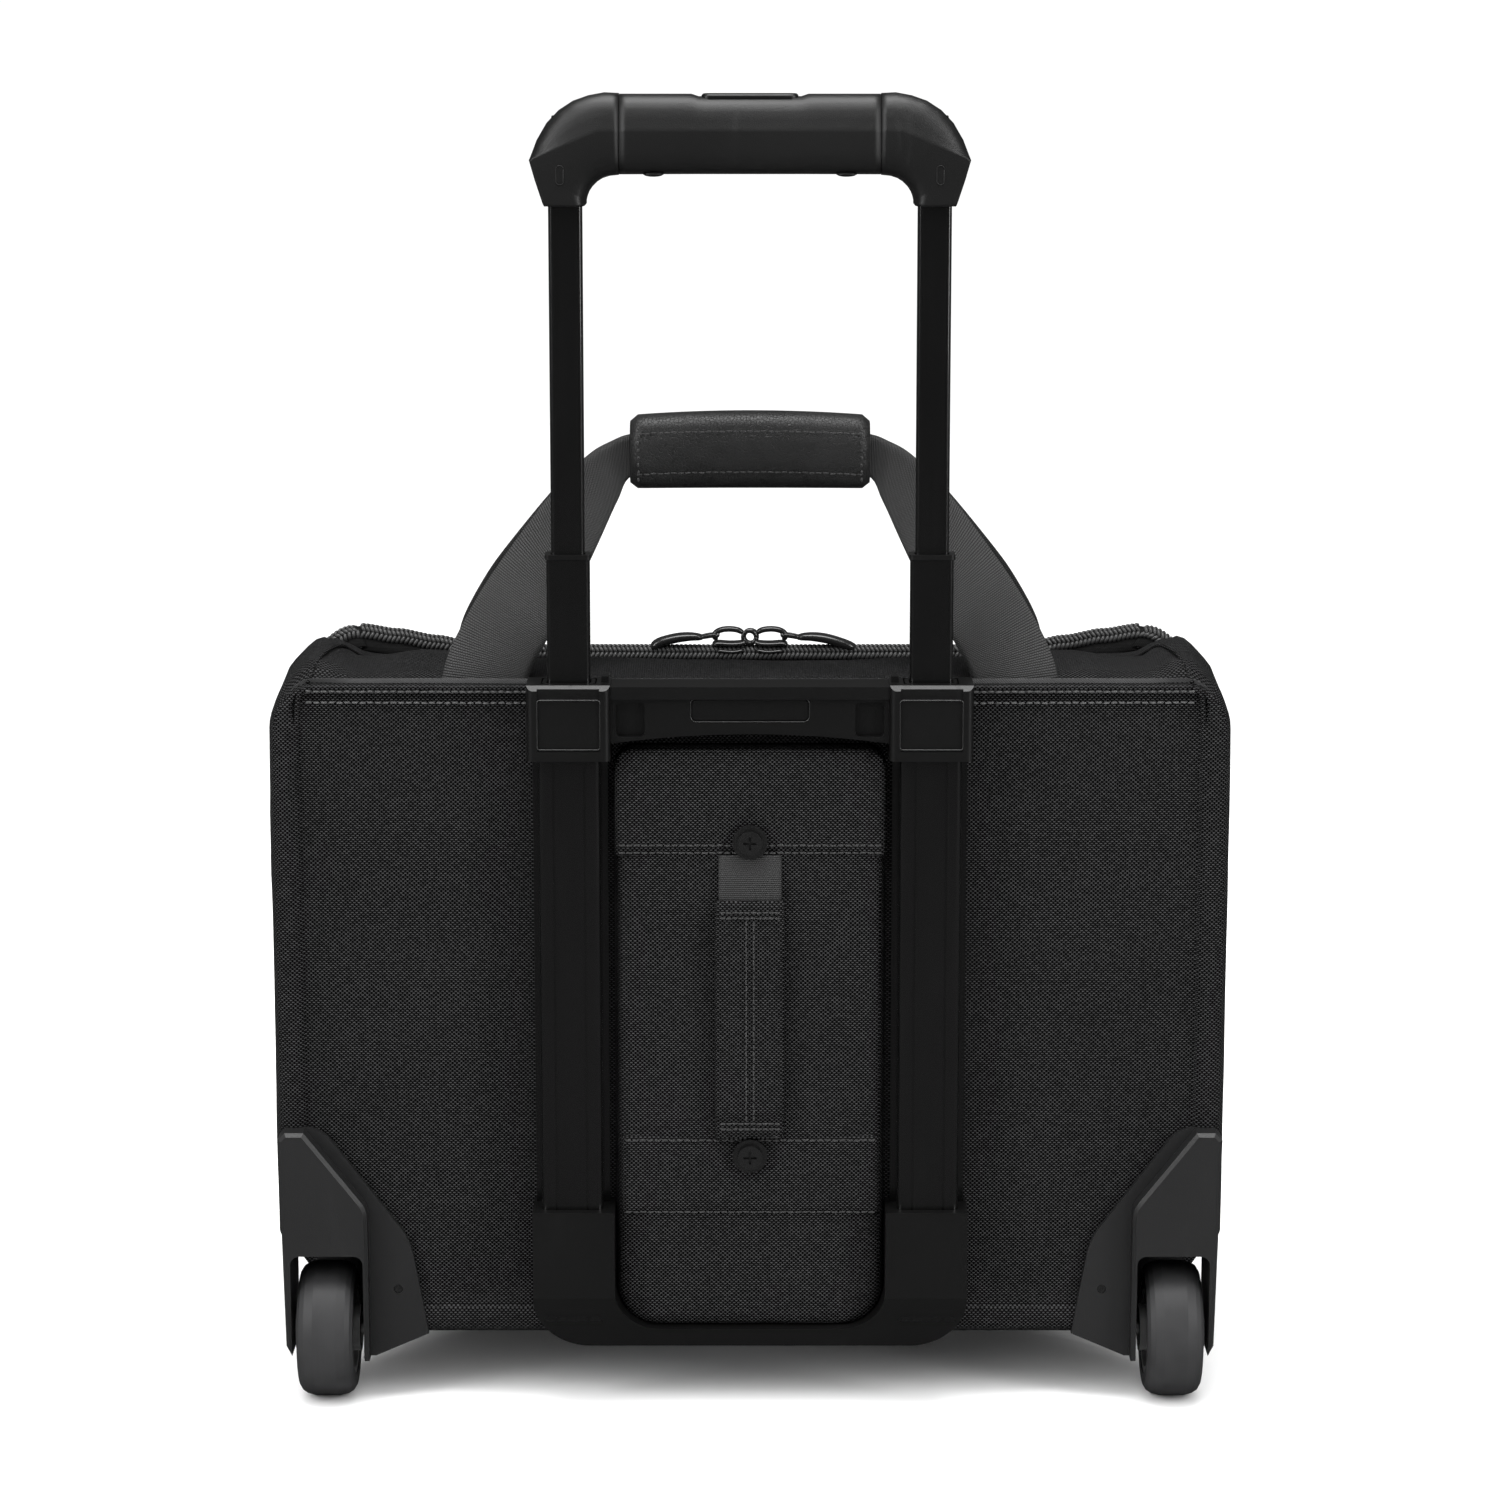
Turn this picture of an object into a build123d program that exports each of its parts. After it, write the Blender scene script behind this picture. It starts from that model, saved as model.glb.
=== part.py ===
"""Rolling laptop case: soft two-compartment body, two wheels and a three-stage telescopic handle.

Units are millimetres.  +Z is up, the trolley side faces -Y, and the origin is on the floor under
the centre of the whole case.  The handle is drawn half extended: its two slim stages are out and
its widest stage is down in the collar.
"""
from build123d import *
import math
import os

# ---- driving dimensions -------------------------------------------------------------------------
BODY_HALF_W = 204.0          # half width of the fabric body
BODY_BOTTOM = 28.0
BODY_TOP = 310.0             # mean height of the slack top panel
REAR_Y = -88.0               # outer face of the rear panel
SPLIT_Y = 40.0               # plane of the main zipper
FRONT_Y = 96.0               # outer face of the front panel, behind the pocket
FRONT_TOP = 294.0            # the top slopes down from the split to here
REACH_Y = 110.0              # furthest the case reaches from the origin, both ways
WALL = 4.0                   # padded fabric wall
CORNER_R = 12.0              # top corners of the body, seen from behind
BOTTOM_R = 45.0              # bottom corners of the body, seen from behind
ZIP_TAPE = 2.0               # each half of the main zipper, across the split
ZIP_GAP = 0.3                # free play between pieces that move past each other

TUBE_X = 75.8                # centre of each telescopic leg
TUBE_Y = -97.0
PROFILE = (26.0, 17.0)       # fixed outer profile, width and depth
PROFILE_BORE = (23.2, 14.2)
FLANGE_W = 31.6
FLANGE_T = 4.0
STAGE_SIZES = [(22.0, 13.0), (18.0, 10.2), (14.0, 6.7)]
STAGE_WALL = 1.2
STAGE_BOTTOMS = [44.0, 112.0, 272.0]   # underside of each stage's lock plug
STAGE_TOPS = [316.0, 370.0, 538.0]
PLUG_H = 8.0
SPIGOT_H = 6.0
CAP_H = 2.0
SLIDE_CLEAR = 0.3

COLLAR_HALF_W = 17.6
COLLAR_BOTTOM = 286.0
COLLAR_TOP = 318.0
CROSSBAR_UNDER = 293.0
BADGE_Z = (303.0, 311.5)
PROFILE_BOTTOM = 40.0
FOOT_TOP = 90.0
FOOT_BEND = 52.0
FOOT_BOTTOM = 27.0

GRIP_HALF_W = 90.0
GRIP_WIDEST = 535.0          # height of the grip's widest points
GRIP_TOP = 562.0
GRIP_UNDER = 529.0
GRIP_SEAM_X = 53.4
GRIP_DEPTH = 24.0
SOCKET_BOTTOM = 516.6
SOCKET_HALF_W = 8.8
BUTTON_HALF_W = 19.8
BUTTON_TOP = 561.5

WHEEL_R = 29.3
WHEEL_W = 24.0
WHEEL_X = 183.0
WHEEL_Y = -80.7
AXLE_R = 3.0
AXLE_CLEAR = 0.05
ARCH_X = (166.4, 197.6)
ARCH_TOP = 67.4
HOUSING_X = 202.0
HOUSING_TOP = 122.0
HOUSING_BOTTOM = 20.0

PAD_HALF_W = 57.8
PAD_BOTTOM = 36.0
PAD_TOP = 290.0
PAD_T = 12.0
GRAB_W = 26.5
SLEEVE_W = 29.6
SLEEVE_Z = (121.0, 225.4)
STRAP_END_Z = 240.0
SCREW_Z = (113.0, 250.0)

STRAP_T = 3.0
WRAP_HALF_W = 51.5
WRAP_Z = (392.0, 425.0)
WRAP_Y = -40.0
FEET_TOP = BODY_TOP + 3
LEGS_START = BODY_TOP + 11

SIDES = {"left": -1, "right": 1}


# ---- helpers ------------------------------------------------------------------------------------
def block(x0, x1, y0, y1, z0, z1):
    """Box between two corners."""
    size = Box(abs(x1 - x0), abs(y1 - y0), abs(z1 - z0))
    return Pos((x0 + x1) / 2, (y0 + y1) / 2, (z0 + z1) / 2) * size


def prism_xz(sketch, y0, y1):
    """Extrude a sketch drawn in X and Z from y0 to y1."""
    return extrude(Plane.XZ.offset(-y0) * sketch, -(y1 - y0))


def slab_xz(half_w, z0, z1, radius, y0, y1):
    """Rounded rectangle, centred on X, extruded along Y."""
    face = Pos(0, (z0 + z1) / 2) * RectangleRounded(2 * half_w, z1 - z0, radius)
    return prism_xz(face, y0, y1)


def body_slab(inset, y0, y1):
    """Body outline seen from behind, drawn in by inset and extruded along Y."""
    face = Pos(0, (BODY_BOTTOM + BODY_TOP) / 2) * Rectangle(
        2 * (BODY_HALF_W - inset), BODY_TOP - BODY_BOTTOM - 2 * inset)
    low, high = face.vertices().group_by(Axis.Y)
    face = fillet(low, BOTTOM_R - inset)
    face = fillet(face.vertices().group_by(Axis.Y)[-1], CORNER_R - inset)
    return prism_xz(face, y0, y1)


def column(width, depth, radius, z0, z1, x=0.0, y=TUBE_Y):
    """Upright rounded bar."""
    return extrude(Pos(x, y, z0) * RectangleRounded(width, depth, radius), z1 - z0)


def outline(points):
    """Closed polygon face."""
    return make_face(Polyline(*points, close=True))


def both(shape):
    """A shape and its mirror image across the middle of the case."""
    return Compound(children=[shape, mirror(shape, Plane.YZ)])


def side_copy(shape, sign):
    """The shape itself on the right, its mirror image on the left."""
    return shape if sign > 0 else mirror(shape, Plane.YZ)


def rod_y(radius, x, z, y0, y1):
    """Round rod along Y."""
    return Pos(x, (y0 + y1) / 2, z) * Rot(90, 0, 0) * Cylinder(radius, abs(y1 - y0))


def rod_x(radius, y, z, x0, x1):
    """Round rod along X."""
    return Pos((x0 + x1) / 2, y, z) * Rot(0, 90, 0) * Cylinder(radius, abs(x1 - x0))


def save(shape, node):
    export_step(shape, f"parts/{node}.step")


# ---- fixings that other pieces make room for ------------------------------------------------------
TROLLEY_SCREWS = [(TUBE_X, 296.0), (TUBE_X, 66.0)]
HOUSING_SCREWS = [(152.0, 50.0), (179.0, 98.0)]
SCREW_R = 2.0
SCREW_HEAD_R = 4.2
SCREW_HEAD_T = 2.5
BOARD_T = 1.6
BOARD_FRONT = REAR_Y + WALL + BOARD_T


def inside_screw(x, z, depth):
    """Screw driven from inside the case, out through board and rear panel."""
    shank = rod_y(SCREW_R, x, z, REAR_Y - depth, BOARD_FRONT)
    head = rod_y(SCREW_HEAD_R, x, z, BOARD_FRONT, BOARD_FRONT + SCREW_HEAD_T)
    cross = block(x - 2.2, x + 2.2, BOARD_FRONT + 1.2, BOARD_FRONT + 4, z - 0.5, z + 0.5)
    cross += block(x - 0.5, x + 0.5, BOARD_FRONT + 1.2, BOARD_FRONT + 4, z - 2.2, z + 2.2)
    return shank + head - cross


def screw_holes(positions, y0, y1):
    """Clearing rods for the screws, on both sides."""
    rods = Part()
    for x, z in positions:
        for sign in SIDES.values():
            rods += rod_y(SCREW_R, sign * x, z, y0, y1)
    return rods


# ---- body -----------------------------------------------------------------------------------------
WELL_X = 161.5
WELL_TOP = 72.0
WELL_FRONT = -44.0
SIDE_GUARD_IN = 199.5
SIDE_GUARD_TOP = 112.0


def side_guard(x0, x1):
    """Side wall of a wheel housing, with a sloping front edge."""
    face = outline([(REAR_Y, 0), (WELL_FRONT, 0), (WELL_FRONT, 64), (-64, SIDE_GUARD_TOP),
                    (REAR_Y, SIDE_GUARD_TOP)])
    return extrude(Plane.YZ.offset(x0) * face, x1 - x0)


def wheel_room():
    """Space that the two wheel housings take out of the rear shell."""
    far = BODY_HALF_W + 5
    well = block(WELL_X, far, REAR_Y - 5, WELL_FRONT, 0, WELL_TOP)
    return both(well + side_guard(SIDE_GUARD_IN, far))


def rear_shell():
    """Main compartment: padded fabric tray, open at the zipper."""
    outer = body_slab(0, REAR_Y, SPLIT_Y - ZIP_TAPE)
    outer = fillet(outer.faces().sort_by(Axis.Y)[0].edges(), 6)
    inner = body_slab(WALL, REAR_Y + WALL, SPLIT_Y)
    shell = outer - inner - wheel_room()
    return shell - screw_holes(TROLLEY_SCREWS + HOUSING_SCREWS, REAR_Y - 1, REAR_Y + WALL + 1)


def back_board():
    """Stiff sheet inside the rear panel, which the trolley is screwed through."""
    board = body_slab(2 * WALL, REAR_Y + WALL, BOARD_FRONT)
    board -= wheel_room()
    return board - screw_holes(TROLLEY_SCREWS + HOUSING_SCREWS, REAR_Y, 0)


def bottom_board():
    """Stiff sheet on the floor of the main compartment."""
    z = BODY_BOTTOM + WALL
    return block(-WELL_X + 3.5, WELL_X - 3.5, BOARD_FRONT + 4, SPLIT_Y - ZIP_TAPE - 2, z, z + BOARD_T)


def zip_chain(y0, y1):
    """Half of the main zipper: a band along the top and down both sides of the split."""
    outer = body_slab(0, y0, y1)
    inner = body_slab(WALL, y0, y1)
    low = block(-BODY_HALF_W - 1, BODY_HALF_W + 1, y0 - 1, y1 + 1, 0, BODY_BOTTOM + 34)
    return outer - inner - low


def above_slope(drop):
    """Everything above the front compartment's sloping top, lowered by drop."""
    face = outline([(SPLIT_Y + ZIP_TAPE, BODY_TOP - drop), (FRONT_Y + 1, FRONT_TOP - drop),
                    (FRONT_Y + 1, BODY_TOP + 1), (SPLIT_Y + ZIP_TAPE, BODY_TOP + 1)])
    return extrude(Plane.YZ.offset(-BODY_HALF_W - 1) * face, 2 * BODY_HALF_W + 2)


def front_shell():
    """Front compartment: a shallower tray that hinges at the bottom of the split."""
    outer = body_slab(0, SPLIT_Y + ZIP_TAPE, FRONT_Y) - above_slope(0)
    outer = fillet(outer.faces().sort_by(Axis.Y)[-1].edges(), 9)
    inner = body_slab(WALL, SPLIT_Y, FRONT_Y - WALL) - above_slope(WALL)
    return outer - inner


def laptop_divider():
    """Padded panel that makes the laptop sleeve inside the front compartment."""
    return body_slab(WALL, 56, 62) - block(-300, 300, 50, 70, 278, 400)


POCKET_HALF_W = 182.0
POCKET_Z = (42.0, 262.0)
POCKET_FRONT = 106.0
POCKET_ZIP_Z = 236.0
POCKET_ZIP_HALF = 160.0


def front_pocket():
    """Flat organiser pocket on the front, with a groove for its zipper."""
    pocket = slab_xz(POCKET_HALF_W, POCKET_Z[0], POCKET_Z[1], 16, FRONT_Y, POCKET_FRONT)
    pocket = fillet(pocket.faces().sort_by(Axis.Y)[-1].edges(), 5)
    groove = slab_xz(POCKET_ZIP_HALF, POCKET_ZIP_Z - 4, POCKET_ZIP_Z + 4, 2, POCKET_FRONT - 3, 120)
    return pocket - groove


def pocket_zip():
    """Zipper chain lying in the pocket's groove."""
    return slab_xz(POCKET_ZIP_HALF, POCKET_ZIP_Z - 4, POCKET_ZIP_Z + 4, 2,
                   POCKET_FRONT - 3, POCKET_FRONT - 1.2)


def front_feet():
    """Two moulded feet that hold the case level with its wheels."""
    foot = Pos(150, 22, 0) * extrude(RectangleRounded(34, 28, 8), BODY_BOTTOM, taper=-4)
    return both(foot)


# ---- zipper sliders ---------------------------------------------------------------------------------
SLIDER_L = 15.0
SLIDER_W = 9.0
SLIDER_X = 8.5
PULLER_L = 27.0
BAIL_X = SLIDER_X + 6.0
BAIL_Z = BODY_TOP + 4.9


def zip_slider():
    """Slider on the top run of the main zipper, with the bail that carries the puller."""
    z = BODY_TOP + ZIP_GAP
    plate = extrude(Pos(SLIDER_X, SPLIT_Y, z) * RectangleRounded(SLIDER_L, SLIDER_W, 2.5), 2.4)
    bail = block(SLIDER_X + 2, BAIL_X + 1.8, SPLIT_Y - 1.1, SPLIT_Y + 1.1, z + 2.4, BAIL_Z + 2.2)
    eye = Pos(BAIL_X, SPLIT_Y, BAIL_Z) * Rot(90, 0, 0) * Cylinder(1.3, 6)
    ring = Pos(0.9, SPLIT_Y, z) * (Cylinder(3.0, 2.0) - Cylinder(1.6, 3.0))
    lug = Pos(0, 0, 1.2) * (ring & block(0.2, 6, 0, 80, 0, 900))
    return plate + bail - eye + lug


def zip_puller():
    """Flat blade puller, lying outward over the top."""
    pin = Pos(BAIL_X, SPLIT_Y, BAIL_Z) * Rot(90, 0, 0) * Cylinder(1.2, 4.4)
    cheek = block(BAIL_X - 1.2, BAIL_X + 7, 0, 1.4, BAIL_Z - 1.2, BAIL_Z + 1.0)
    cheeks = Pos(0, SPLIT_Y + 1.4, 0) * cheek + Pos(0, SPLIT_Y - 2.8, 0) * cheek
    face = Pos(BAIL_X + 5 + PULLER_L / 2, SPLIT_Y, BAIL_Z - 1.2) * RectangleRounded(PULLER_L, 8.4, 2.4)
    blade = extrude(face, 2.0)
    hole = Pos(BAIL_X + 1.5 + PULLER_L, SPLIT_Y, BAIL_Z) * Cylinder(1.5, 8)
    return pin + cheeks + blade - hole


POCKET_SLIDER_X = -150.0


def pocket_slider():
    """Slider of the front pocket's zipper."""
    y = POCKET_FRONT - 1.2 + ZIP_GAP
    plate = slab_xz(6, POCKET_ZIP_Z - 3.6, POCKET_ZIP_Z + 3.6, 2, y, y + 1.8)
    bail = block(-1.1, 1.1, y + 1.8, REACH_Y, POCKET_ZIP_Z - 3.2, POCKET_ZIP_Z + 3.2)
    eye = rod_x(0.95, REACH_Y - 1.4, POCKET_ZIP_Z, -3, 3)
    return Pos(POCKET_SLIDER_X, 0, 0) * (plate + bail - eye)


def pocket_puller():
    """Short blade that hangs from the pocket's slider."""
    y = REACH_Y - 1.4
    pin = rod_x(0.85, y, POCKET_ZIP_Z, -2.2, 2.2)
    cheek = block(1.4, 2.8, y - 0.85, y + 0.85, POCKET_ZIP_Z - 8, POCKET_ZIP_Z + 1)
    blade = slab_xz(3.8, POCKET_ZIP_Z - 34, POCKET_ZIP_Z - 7, 2, y - 0.85, y + 0.85)
    return Pos(POCKET_SLIDER_X, 0, 0) * (pin + both(cheek) + blade)


# ---- wheels -----------------------------------------------------------------------------------------
def housing_outline(inner_points):
    """Rear view of the housing, closed from the given inner edge round the outside."""
    return outline(inner_points + [(196.5, HOUSING_BOTTOM), (200, 27), (HOUSING_X, HOUSING_TOP - 3),
                                   (HOUSING_X - 3, HOUSING_TOP)])


def round_corner(face, x, z, radius):
    """Round one corner of a flat outline."""
    return fillet(face.vertices().sort_by_distance((x, z))[0], radius)


def wheel_housing():
    """Right corner guard: rear flange, raised face, side wall and wheel well in one moulding."""
    flange = housing_outline([(184, HOUSING_TOP), (146.5, 72), (139, 30), (162, HOUSING_BOTTOM)])
    flange = round_corner(flange, 184, HOUSING_TOP, 14)
    flange = round_corner(flange, 146.5, 72, 30)
    raised = housing_outline([(191, HOUSING_TOP), (164.3, 88), (164.3, HOUSING_BOTTOM)])
    raised = round_corner(raised, 164.3, 88, 12)
    shape = prism_xz(flange, REAR_Y - 20, 0)
    solid = prism_xz(flange, REAR_Y - 3, REAR_Y)
    face = prism_xz(raised, REAR_Y - 12, REAR_Y)
    rear_edges = face.faces().sort_by(Axis.Y)[0].edges()
    solid += chamfer(rear_edges, 1.5)
    solid += block(WELL_X, HOUSING_X, REAR_Y, WELL_FRONT, HOUSING_BOTTOM, WELL_TOP) & shape
    solid += side_guard(SIDE_GUARD_IN, HOUSING_X) & shape
    arch = block(ARCH_X[0], ARCH_X[1], REAR_Y - 30, WELL_FRONT - 3, 0, ARCH_TOP)
    arch = fillet(arch.edges().filter_by(Axis.Y), 4)
    arch += block(ARCH_X[1] - 6, HOUSING_X + 2, -66, WELL_FRONT + 2, 0, ARCH_TOP - 4)
    bore = rod_x(AXLE_R, WHEEL_Y, WHEEL_R, WELL_X - 1, HOUSING_X + 1)
    recess = rod_x(6.0, WHEEL_Y, WHEEL_R, HOUSING_X - 4, HOUSING_X + 1)
    solid -= arch + bore + recess
    return solid - screw_holes(HOUSING_SCREWS, REAR_Y - 8, REAR_Y)


def axle():
    """Steel axle pin with a riveted head in the outer wall."""
    pin = rod_x(AXLE_R, WHEEL_Y, WHEEL_R, WELL_X, HOUSING_X - 4)
    head = rod_x(5.2, WHEEL_Y, WHEEL_R, HOUSING_X - 4, HOUSING_X - 2.6)
    return pin + head


HUB_R = 20.0
BEARING_R = 7.0
BEARING_W = 6.0


def revolve_about_axle(points):
    """Solid of revolution about the axle, from (distance along X, radius) points."""
    plane = Plane(origin=(WHEEL_X, WHEEL_Y, WHEEL_R), x_dir=(1, 0, 0), z_dir=(0, -1, 0))
    ring = revolve(outline(points), Axis.X)
    return plane.location * ring


def tyre():
    """Crowned rubber tyre around the hub."""
    half = WHEEL_W / 2
    section = [(-half, HUB_R), (-half, 25.0), (-half + 1.2, 27.0), (-half + 3.2, 28.3), (-5, WHEEL_R),
               (5, WHEEL_R), (half - 3.2, 28.3), (half - 1.2, 27.0), (half, 25.0), (half, HUB_R)]
    return revolve_about_axle(section)


def hub():
    """Moulded hub: rim, five-window web and a boss for the two bearings."""
    half = WHEEL_W / 2 - 0.6
    rim = [(-half, 17), (-half, HUB_R), (half, HUB_R), (half, 17)]
    web = [(-3, BEARING_R + 2), (-3, 17.5), (3, 17.5), (3, BEARING_R + 2)]
    boss = [(-14, BEARING_R), (-14, BEARING_R + 3), (14, BEARING_R + 3), (14, BEARING_R)]
    core = [(-14 + BEARING_W, AXLE_R + 1.5), (-14 + BEARING_W, BEARING_R + 0.5),
            (14 - BEARING_W, BEARING_R + 0.5), (14 - BEARING_W, AXLE_R + 1.5)]
    solid = revolve_about_axle(rim) + revolve_about_axle(web) + revolve_about_axle(boss)
    solid += revolve_about_axle(core)
    for step in range(5):
        angle = math.radians(72 * step + 90)
        y = WHEEL_Y + 13.6 * math.cos(angle)
        z = WHEEL_R + 13.6 * math.sin(angle)
        solid -= rod_x(2.6, y, z, WHEEL_X - 5, WHEEL_X + 5)
    return solid


def bearings():
    """Pair of bushed bearings in the hub's boss."""
    bore = AXLE_R + AXLE_CLEAR
    pieces = []
    for x0 in (-14, 14 - BEARING_W):
        ring = [(x0, bore), (x0, BEARING_R), (x0 + BEARING_W, BEARING_R), (x0 + BEARING_W, bore)]
        pieces.append(revolve_about_axle(ring))
    return Compound(children=pieces)


# ---- trolley ----------------------------------------------------------------------------------------
def outer_profile():
    """Fixed aluminium profile: a box with two side flanges against the rear panel."""
    bottom, top = PROFILE_BOTTOM, COLLAR_TOP - 2
    solid = column(PROFILE[0], PROFILE[1], 2.5, bottom, top, TUBE_X)
    solid += block(TUBE_X - FLANGE_W / 2, TUBE_X + FLANGE_W / 2,
                   TUBE_Y + PROFILE[1] / 2 - FLANGE_T, TUBE_Y + PROFILE[1] / 2, bottom, top)
    for offset in (-6.5, 6.5):
        groove = block(TUBE_X + offset - 0.5, TUBE_X + offset + 0.5, TUBE_Y - PROFILE[1] / 2 - 1,
                       TUBE_Y - PROFILE[1] / 2 + 0.4, bottom, top)
        solid -= groove
    solid -= column(PROFILE_BORE[0], PROFILE_BORE[1], 1.5, bottom - 1, top + 1, TUBE_X)
    return solid - screw_holes(TROLLEY_SCREWS, TUBE_Y, REAR_Y)


def profile_room(z0, z1):
    """Pocket in a bracket that the outer profile sits in."""
    box = column(PROFILE[0], PROFILE[1], 2.5, z0, z1, TUBE_X)
    return box + block(TUBE_X - FLANGE_W / 2, TUBE_X + FLANGE_W / 2,
                       TUBE_Y + PROFILE[1] / 2 - FLANGE_T, REAR_Y, z0, z1)


def trolley_top_bracket():
    """Moulded crossbar with a collar for each telescopic leg."""
    collar = block(TUBE_X - COLLAR_HALF_W, TUBE_X + COLLAR_HALF_W, -REACH_Y, REAR_Y,
                   COLLAR_BOTTOM, COLLAR_TOP)
    collar = fillet(collar.edges().filter_by(Axis.Z).group_by(Axis.Y)[0], 3)
    panel = block(TUBE_X - 13, TUBE_X + 13, -REACH_Y - 1, -REACH_Y + 0.8,
                  COLLAR_BOTTOM + 4.2, COLLAR_TOP + 1)
    bevel = Pos(TUBE_X, -REACH_Y, COLLAR_TOP) * Rot(45, 0, 0) * Box(2 * COLLAR_HALF_W + 2, 3, 3)
    lug = block(TUBE_X - COLLAR_HALF_W + 1, TUBE_X - COLLAR_HALF_W + 4, TUBE_Y - 3, TUBE_Y + 3,
                COLLAR_TOP, COLLAR_TOP + 2.5)
    collar = collar - panel - bevel + lug
    collar -= profile_room(0, COLLAR_TOP - 2)
    collar -= column(PROFILE_BORE[0], PROFILE_BORE[1], 1.5, 0, 400, TUBE_X)
    inner_x = TUBE_X - COLLAR_HALF_W
    low, high = CROSSBAR_UNDER, COLLAR_TOP - 1.5
    bar_face = make_face([Polyline((inner_x, low), (inner_x, high), (-inner_x, high), (-inner_x, low)),
                          ThreePointArc((-inner_x, low), (0, low + 4), (inner_x, low))])
    bar = prism_xz(bar_face, -106, REAR_Y)
    lip = block(-inner_x, inner_x, -108, REAR_Y, COLLAR_TOP - 6, COLLAR_TOP - 0.7)
    badge_room = slab_xz(24.5, BADGE_Z[0] - 0.5, BADGE_Z[1] + 0.5, 2, -107, -105)
    pits = both(Pos(50, 0, 0) * slab_xz(6, low + 3, high - 6, 2, -107, -103))
    bar = bar + lip - badge_room - pits
    bracket = bar + collar + mirror(collar, Plane.YZ)
    return bracket - screw_holes(TROLLEY_SCREWS, TUBE_Y, REAR_Y)


def badge_plate():
    """Blank plate in the crossbar's recess."""
    return slab_xz(24, BADGE_Z[0], BADGE_Z[1], 1.8, -105.8, -105)


def trolley_foot_bracket():
    """U-shaped moulding that holds both profiles at the bottom, around the pad."""
    half_out = TUBE_X + 17
    outer = outline([(-half_out, FOOT_TOP), (-half_out, FOOT_BOTTOM), (half_out, FOOT_BOTTOM),
                     (half_out, FOOT_TOP)])
    outer = fillet(outer.vertices().group_by(Axis.Y)[0], 24)
    gap = Pos(0, (PAD_BOTTOM + 200) / 2) * RectangleRounded(2 * PAD_HALF_W, 200 - PAD_BOTTOM, 19)
    bracket = prism_xz(outer, -REACH_Y, REAR_Y) - prism_xz(gap, -REACH_Y - 5, REAR_Y + 5)
    slope = outline([(-REACH_Y - 1, FOOT_BEND), (-REACH_Y, FOOT_BEND), (-REACH_Y + 12, FOOT_BOTTOM - 1),
                     (-REACH_Y - 1, FOOT_BOTTOM - 1)])
    bracket -= extrude(Plane.YZ.offset(-half_out - 1) * slope, 2 * half_out + 2)
    bracket -= both(profile_room(PROFILE_BOTTOM, 200))
    return bracket - screw_holes(TROLLEY_SCREWS, TUBE_Y, REAR_Y)


def body_screws():
    """Eight screws from inside: four clamp the trolley, four hold the wheel housings."""
    pieces = []
    for positions, depth in ((TROLLEY_SCREWS, 1.4), (HOUSING_SCREWS, 2.6)):
        for x, z in positions:
            pieces += [inside_screw(sign * x, z, depth) for sign in SIDES.values()]
    return Compound(children=pieces)


def stage_tube(stage):
    """One leg's tube of a stage, right side."""
    width, depth = STAGE_SIZES[stage]
    bottom = STAGE_BOTTOMS[stage] + PLUG_H
    outer = column(width, depth, 1.8, bottom, STAGE_TOPS[stage], TUBE_X)
    bore = column(width - 2 * STAGE_WALL, depth - 2 * STAGE_WALL, 1.0, bottom, STAGE_TOPS[stage], TUBE_X)
    return outer - bore


def stage_bore(stage):
    """Inside size of the tube that a stage slides in."""
    if stage == 0:
        return PROFILE_BORE
    width, depth = STAGE_SIZES[stage - 1]
    return width - 2 * STAGE_WALL, depth - 2 * STAGE_WALL


def lock_plug(stage):
    """Lock housing at the foot of a tube, with its spigot and spring latch."""
    room_w, room_d = stage_bore(stage)
    width, depth = STAGE_SIZES[stage]
    z = STAGE_BOTTOMS[stage]
    plug = column(room_w - 2 * SLIDE_CLEAR, room_d - 2 * SLIDE_CLEAR, 1.0, z, z + PLUG_H, TUBE_X)
    spigot = column(width - 2 * STAGE_WALL, depth - 2 * STAGE_WALL, 1.0,
                    z + PLUG_H, z + PLUG_H + SPIGOT_H, TUBE_X)
    latch_hole = Pos(TUBE_X, TUBE_Y, z) * Cylinder(1.5, 12)
    return plug + spigot - latch_hole


def stage_cap(stage, proud):
    """Wear ring on top of a tube that guides the next one."""
    width, depth = STAGE_SIZES[stage]
    next_w, next_d = STAGE_SIZES[stage + 1]
    z = STAGE_TOPS[stage]
    ring = column(width + 2 * proud, depth + 2 * proud, 2.0, z, z + CAP_H, TUBE_X)
    return ring - column(next_w + 2 * SLIDE_CLEAR, next_d + 2 * SLIDE_CLEAR, 1.8,
                         z - 1, z + CAP_H + 1, TUBE_X)


CORE_TOP = 539.5             # top of the stiff bar inside the grip
BAR_UNDER = 547.5            # underside of the button's bar, 8 mm of spring above the core
BAR_TOP = 552.5
CHANNEL_TOP = 554.5
SPRING_X = 34.0
SPRING_R = 3.0
SPRING_WIRE = 0.5


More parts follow.
